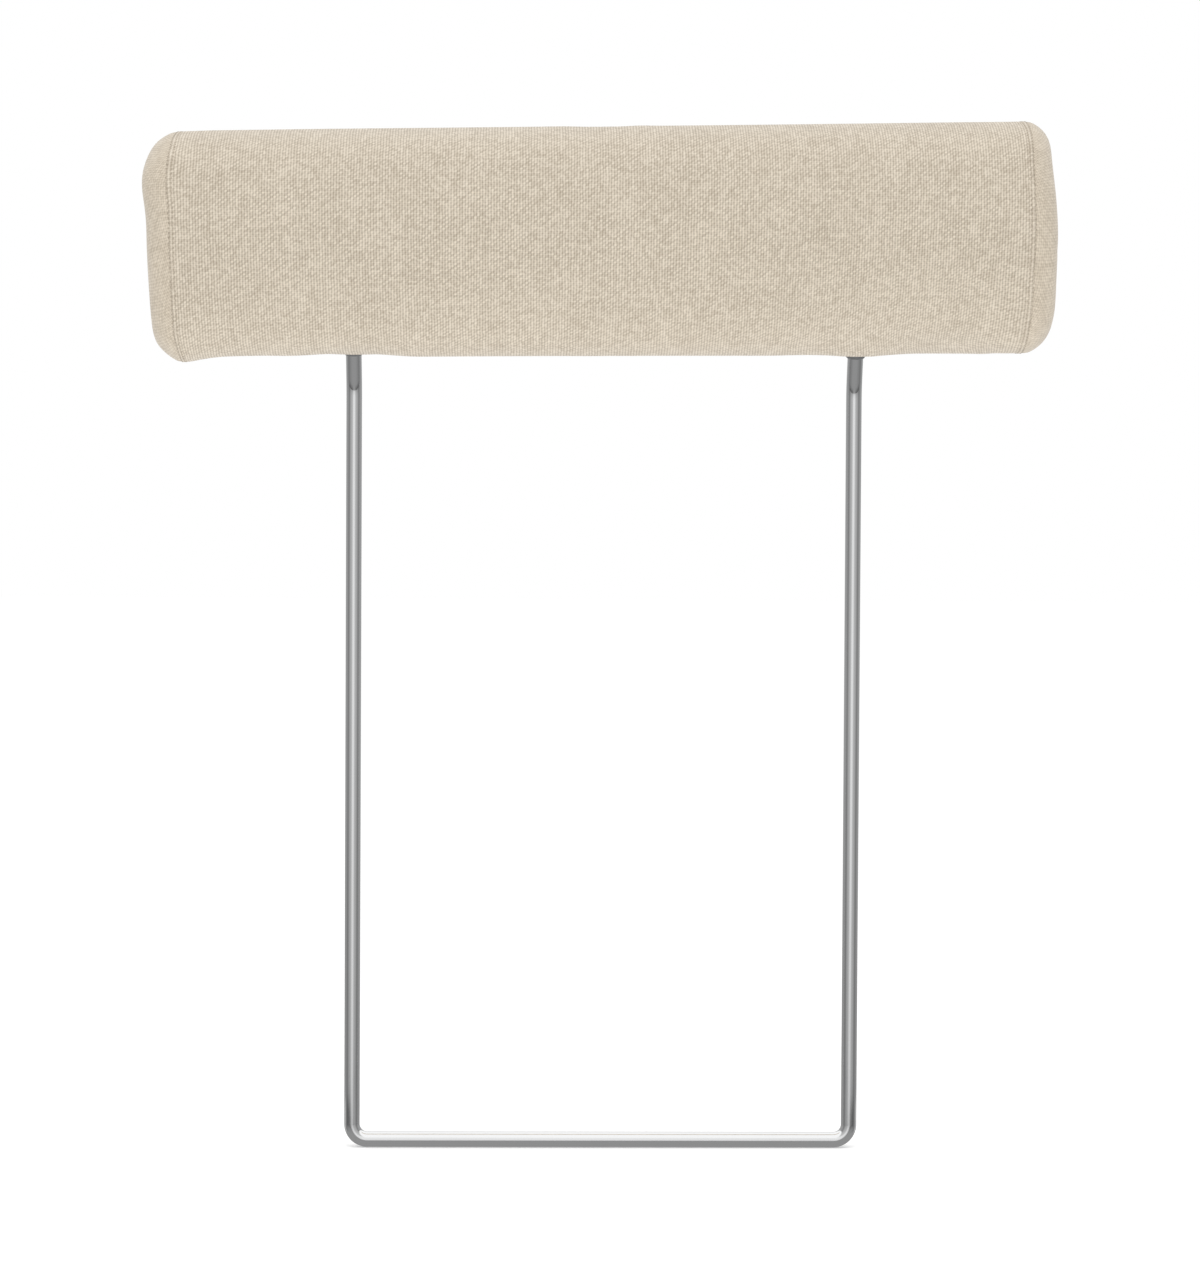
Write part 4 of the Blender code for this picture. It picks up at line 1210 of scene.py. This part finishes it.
form = bmesh.new()
for side in (-1, 1):
    spot = place_round(side * (SLOT_HALF_WIDTH + BESIDE_SLOT), -PROUD)
    places = np.linspace(-SLOT_SEAM_HALF, SLOT_SEAM_HALF, SLOT_SEAM_POINTS)
    line = [CUSHION @ Vector((x, *spot)) for x in places]
    sew(form, line, [-ZIP_INWARD] * len(line), False)
make_piece("zip_stitches", form, thread, "headrest")

# %% [markdown]
# ## Stuffing under the cover
# A sheet of fibre wadding lies between the cover and the foam, and a loose fibre pad fills each
# domed end. Their outer face follows the settled cover from just inside it, and their inner face
# follows the foam, so the stuffing fills the space whatever shape the cover has taken.

# %% Fibre finish
fibre, shader = new_finish("fibre_wadding", [("Roughness", 0.95), ("Sheen Weight", 0.4)])
spot = object_spot(fibre)
tuft = noise(fibre, spot, 90.0, 6.0, ("Distortion", 1.5))
strand = noise(fibre, spot, 900.0, 3.0, ("Distortion", 3.0))
colour(fibre, shader, tuft, (0.74, 0.74, 0.72, 1), (0.93, 0.93, 0.92, 1))
bump(fibre, shader, sums(fibre, "MULTIPLY_ADD", strand, 0.5, tuft), 0.7, 0.0015)

# %% Space under the cover
UNDER_COVER = 0.0016
FOAM_FACE = 0.0095
WADDING_WALL = 0.006
INNER_EDGE = JOINT - FOAM_END
inner_form = bmesh.new()
inner_form.from_mesh(skin_mesh)
inner_form.normal_update()
under = [corner.co - corner.normal * UNDER_COVER for corner in inner_form.verts]
for corner, place in zip(inner_form.verts, under):
    corner.co = place

# %% Wadding sheet
wrap = inner_form.copy()
along_note = wrap.verts.layers.float["along"]
girth_note = wrap.verts.layers.float["girth"]
reach_note = wrap.verts.layers.float["reach"]


def off_foam(corner):
    """True past the foam's end and under the zip's tapes."""
    gap = min(corner[girth_note], GIRTH - corner[girth_note])
    return corner[reach_note] < INNER_EDGE - NEAR or gap < TAPE_EDGE - NEAR


outside = [face for face in wrap.faces if any(map(off_foam, face.verts))]
bmesh.ops.delete(wrap, geom=outside, context="FACES")
for side in (-1, 1):
    open_rod_hole(wrap, side * LEG_PLACE, False)
outer_faces = wrap.faces[:]
bmesh.ops.solidify(wrap, geom=outer_faces, thickness=WADDING_WALL)
outer_corners = {corner for face in outer_faces for corner in face.verts}
holes = [Vector((side * LEG_PLACE, ROD_OFFSET)) for side in (-1, 1)]
for corner in wrap.verts:
    if corner in outer_corners:
        continue
    y, z = place_round(corner[girth_note], FOAM_FACE)
    place = Vector((corner[along_note], y, z))
    for hole in holes:
        away = Vector((place.x, place.y)) - hole
        if away.length < HOLE_RADIUS + 0.0011 and z < 0:
            away = away.normalized() * HOLE_RADIUS
            place.x, place.y = hole + away
    corner.co = CUSHION @ place
bmesh.ops.recalc_face_normals(wrap, faces=wrap.faces)
wadding = make_piece("wadding_sheet", wrap, fibre, "headrest")
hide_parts("wadding_wrap")

# %% Fibre pads
for panel, side, word in ((LEFT_END, -1, "left"), (RIGHT_END, 1, "right")):
    pad = inner_form.copy()
    reach_note = pad.verts.layers.float["reach"]
    far = [
        face
        for face in pad.faces
        if any(c[reach_note] > INNER_EDGE + NEAR or side * c.co.x < 0 for c in face.verts)
    ]
    bmesh.ops.delete(pad, geom=far, context="FACES")
    rim = [edge for edge in pad.edges if edge.is_boundary]
    bmesh.ops.contextual_create(pad, geom=rim)
    bmesh.ops.recalc_face_normals(pad, faces=pad.faces)
    fibre_pad = make_piece(f"fibre_filling_{word}", pad, fibre, "headrest")
    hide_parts(f"fibre_pad_{word}")

# %% [markdown]
# ## Foam
# The core is two blocks of cut upholstery foam with a pocket for the board. Their shape in the
# measured model is right, so a copy of each is merged, its cut edges are softened, and it gets the
# open pores of foam.

# %% Foam blocks
SOFT_EDGE = 0.0012
foam, shader = new_finish(
    "upholstery_foam",
    [("Roughness", 0.95), ("Subsurface Weight", 0.05), ("Subsurface Scale", 0.002)],
)
spot = object_spot(foam)
pores, big = (
    put(foam, "ShaderNodeTexVoronoi", [("Vector", spot), ("Scale", scale)]).outputs["Distance"]
    for scale in (950.0, 310.0)
)
pits = sums(foam, "MULTIPLY", pores, sums(foam, "MULTIPLY_ADD", big, 0.5, 0.6))
aged = noise(foam, spot, 14.0, 3.0)
tone = blend_colours(foam, aged, (0.80, 0.74, 0.54, 1), (0.88, 0.84, 0.68, 1))
# Painted shade: the colour is darkened in the pits of the pores, where the bump sinks.
sockets = [("Value", pits), ("To Min", 0.62), ("To Max", 1.0), ("From Max", 0.5)]
painted_pore_shade = put(foam, "ShaderNodeMapRange", sockets).outputs[0]
join(foam, blend_colours(foam, 1.0, tone, painted_pore_shade, "MULTIPLY"), shader.inputs["Base Color"])
bump(foam, shader, pits, 0.6, 0.0006)

for node_name in ("foam_front", "foam_back"):
    block = bmesh.new()
    block.from_mesh(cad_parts[node_name].data)
    bmesh.ops.remove_doubles(block, verts=block.verts, dist=SAME_PLACE)
    flat = {"angle_limit": math.radians(1.0), "verts": block.verts, "edges": block.edges}
    bmesh.ops.dissolve_limit(block, **flat)
    foam_block = make_piece(f"{node_name}_block", block, foam, "headrest")
    cut_edges = foam_block.modifiers.new("cut_edges", "BEVEL")
    cut_edges.width = SOFT_EDGE
    cut_edges.segments = 2
    cut_edges.limit_method = "ANGLE"
    cut_edges.angle_limit = math.radians(40)
    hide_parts(node_name)

# %% [markdown]
# ## The zip
# A coil zip closes the slot under the back edge. Its two tapes are narrow woven ribbons that are
# sewn to the hems, and each carries a coil, which really is one long spring of nylon wire. Spinning
# a small circle round the coil's axis while moving it along makes that spring, and squeezing it
# gives the flat oval of a real coil.

# %% Zip tapes
TAPE_THICKNESS = 0.0006
TAPE_INSET = 0.0015
TAPE_NEAR = 0.00055
TAPE_FAR = 0.01255
TAPE_HALF_LENGTH = 0.290
TAPE_COLUMNS = 96
TAPE_ROWS = 10
TAPE_YARNS = ((0.72, 0.64, 0.52, 1), (0.46, 0.39, 0.30, 1))
tape_finish = weave_cloth("zip_tape", *TAPE_YARNS, 0.00075, 0.0006, 0.9, 0.7, roughness=0.8)


def lay_tape(name, side):
    form = bmesh.new()
    line = []
    for number in range(TAPE_ROWS + 1):
        girth = side * (TAPE_NEAR + (TAPE_FAR - TAPE_NEAR) * number / TAPE_ROWS)
        line.append(form.verts.new((-TAPE_HALF_LENGTH, *place_round(girth, TAPE_INSET))))
    edges = [form.edges.new(pair) for pair in zip(line, line[1:])]
    for number in range(TAPE_COLUMNS):
        edges = pull(form, edges, (2 * TAPE_HALF_LENGTH / TAPE_COLUMNS, 0, 0))
    weave = form.loops.layers.uv.new("weave")
    for face in form.faces:
        for loop in face.loops:
            gap = girth_of(loop.vert.co)
            loop[weave].uv = (loop.vert.co.x, gap if gap < GIRTH / 2 else gap - GIRTH)
    bmesh.ops.transform(form, matrix=CUSHION, verts=form.verts)
    form.normal_update()
    if sum(face.normal.dot(ZIP_INWARD) for face in form.faces) > 0:
        bmesh.ops.reverse_faces(form, faces=form.faces)
    tape = make_piece(f"{name}_ribbon", form, tape_finish, "headrest")
    soften(tape, TAPE_THICKNESS, 0)
    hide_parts(name)


lay_tape("zip_tape_front", -1)
lay_tape("zip_tape_rear", 1)

# %% Sizes and nylon of the coils
COIL_PITCH = 0.00128
COIL_NEAR = 0.00034
COIL_FAR = 0.00285
COIL_LOW = -0.0012
COIL_HIGH = 0.0006
WIRE_RADIUS = 0.00027
TURN_STEPS = 8
TURNS_IN_GROUP = 18
COIL_GROUPS = 24
FIRST_RADIUS = 0.001

nylon, shader = new_finish(
    "nylon_coil",
    [("Roughness", 0.38), ("Subsurface Weight", 0.1), ("Subsurface Scale", 0.001)],
)
tint = noise(nylon, object_spot(nylon), 160.0, 2.0)
colour(nylon, shader, tint, (0.60, 0.52, 0.40, 1), (0.70, 0.62, 0.50, 1))


# %% Wind the coils
def repeat_along(form, pitch, count):
    """Copies everything in a form along X, count times in all."""
    first = form.verts[:] + form.edges[:] + form.faces[:]
    for number in range(1, count):
        copy = bmesh.ops.duplicate(form, geom=first)["geom"]
        corners = [item for item in copy if isinstance(item, bmesh.types.BMVert)]
        bmesh.ops.translate(form, vec=(pitch * number, 0, 0), verts=corners)


def wind_coil(name, side):
    form = bmesh.new()
    bmesh.ops.create_circle(form, segments=5, radius=WIRE_RADIUS)
    bmesh.ops.translate(form, vec=(0, FIRST_RADIUS, 0), verts=form.verts)
    whole_turn = {"cent": (0, 0, 0), "axis": (1, 0, 0), "angle": math.tau, "steps": TURN_STEPS}
    onward = (COIL_PITCH / TURN_STEPS, 0, 0)
    bmesh.ops.spin(form, geom=form.edges[:], dvec=onward, **whole_turn)
    wide = (COIL_FAR - COIL_NEAR) / 2 - WIRE_RADIUS
    tall = (COIL_HIGH - COIL_LOW) / 2 - WIRE_RADIUS
    for corner in form.verts:
        spoke = Vector((corner.co.y, corner.co.z)).normalized()
        corner.co.y += spoke.x * (wide - FIRST_RADIUS)
        corner.co.z += spoke.y * (tall - FIRST_RADIUS)
    repeat_along(form, COIL_PITCH, TURNS_IN_GROUP)
    repeat_along(form, COIL_PITCH * TURNS_IN_GROUP, COIL_GROUPS)
    bmesh.ops.remove_doubles(form, verts=form.verts, dist=SAME_PLACE)
    start = -COIL_PITCH * TURNS_IN_GROUP * COIL_GROUPS / 2
    centre = (start, side * (COIL_NEAR + COIL_FAR) / 2, (COIL_HIGH + COIL_LOW) / 2)
    bmesh.ops.translate(form, vec=centre, verts=form.verts)
    bmesh.ops.transform(form, matrix=ZIP, verts=form.verts)
    bmesh.ops.holes_fill(form, edges=[edge for edge in form.edges if edge.is_boundary], sides=0)
    bmesh.ops.recalc_face_normals(form, faces=form.faces)
    coil = make_piece(f"{name}_spring", form, nylon, "headrest")
    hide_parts(name)


wind_coil("zip_coil_front", -1)
wind_coil("zip_coil_rear", 1)

# %% [markdown]
# ## Finishes for the measured pieces
# The board, sockets, screws, zip stops and slider have the right shape already, so they keep it and
# only get finishes. Plywood needs grain along its faces and the stripes of its plies on the edges.
# The sockets are moulded in grey plastic with a fine spark texture. Screws are zinc plated, with
# the faint blue and straw tints of that plating, and the slider is a worn die casting.

# %% Plywood
PLY = 0.0028
GLUE_SHARE = 0.06
plywood, shader = new_finish("birch_plywood", [("Roughness", 0.62)])


def mapped(finish, spot, socket, value):
    return put(finish, "ShaderNodeMapping", [("Vector", spot), (socket, value)]).outputs[0]


upright = mapped(plywood, object_spot(plywood), "Rotation", (-KICK_ANGLE, 0, 0))
depth = put(plywood, "ShaderNodeSeparateXYZ", [(0, upright)]).outputs["Y"]
long_grain = mapped(plywood, upright, "Scale", (5.0, 60.0, 60.0))
cross_grain = mapped(plywood, upright, "Scale", (60.0, 60.0, 5.0))
grain = noise(plywood, long_grain, 1.6, 6.0, ("Distortion", 1.2))
fine_grain = noise(plywood, cross_grain, 4.0, 5.0)
ply = sums(plywood, "FRACT", sums(plywood, "DIVIDE", depth, PLY))
off_glue = sums(plywood, "ABSOLUTE", sums(plywood, "SUBTRACT", ply, 0.5))
glue = sums(plywood, "MULTIPLY", sums(plywood, "LESS_THAN", off_glue, GLUE_SHARE), 0.6)
pale = blend_colours(plywood, grain, (0.72, 0.55, 0.35, 1), (0.50, 0.34, 0.18, 1))
faint = sums(plywood, "MULTIPLY", fine_grain, 0.4)
pale = blend_colours(plywood, faint, pale, (0.80, 0.66, 0.46, 1))
colour(plywood, shader, glue, pale, (0.26, 0.16, 0.09, 1))
bump(plywood, shader, grain, 0.25, 0.0004)
print("plies of", 1000 * PLY, "mm")

# %% Moulded plastic
moulded, shader = new_finish("moulded_plastic")
spot = object_spot(moulded)
spark = noise(moulded, spot, 2400.0, 2.0)
flow = noise(moulded, spot, 35.0, 2.0)
colour(moulded, shader, flow, (0.125, 0.13, 0.135, 1), (0.16, 0.165, 0.17, 1))
join(moulded, sums(moulded, "MULTIPLY_ADD", spark, 0.2, 0.38), shader.inputs["Roughness"])
bump(moulded, shader, spark, 0.35, 0.0001)

# %% Zinc plate and cast slider
zinc, shader = new_finish("zinc_plate", [("Metallic", 1.0)])
film = noise(zinc, object_spot(zinc), 320.0, 4.0)
colour(zinc, shader, film, (0.60, 0.63, 0.68, 1), (0.70, 0.66, 0.54, 1))
join(zinc, sums(zinc, "MULTIPLY_ADD", film, 0.25, 0.2), shader.inputs["Roughness"])

cast, shader = new_finish("cast_slider", [("Metallic", 1.0)])
rub = noise(cast, object_spot(cast), 420.0, 4.0)
colour(cast, shader, rub, (0.46, 0.45, 0.43, 1), (0.66, 0.64, 0.60, 1))
join(cast, sums(cast, "MULTIPLY_ADD", rub, 0.3, 0.22), shader.inputs["Roughness"])
bump(cast, shader, rub, 0.3, 0.0001)

# %% Give them out
KEPT = {
    "core_board": plywood,
    "zip_slider": cast,
    "zip_stop_closed": nylon,
    "zip_stop_open": nylon,
}
for word in ("left", "right"):
    KEPT[f"rod_socket_{word}"] = moulded
    for number in range(1, 5):
        KEPT[f"socket_screw_{word}_{number}"] = zinc
for node_name, finish in KEPT.items():
    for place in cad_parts[node_name].material_slots:
        place.material = finish
print("measured pieces with a finish:", len(KEPT))

# %% [markdown]
# ## Size of the dressed model
# The dressed model must keep the measured size, so its box is printed in millimetres.

low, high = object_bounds()
print("dressed size in mm:", [round(1000 * side, 1) for side in high - low])
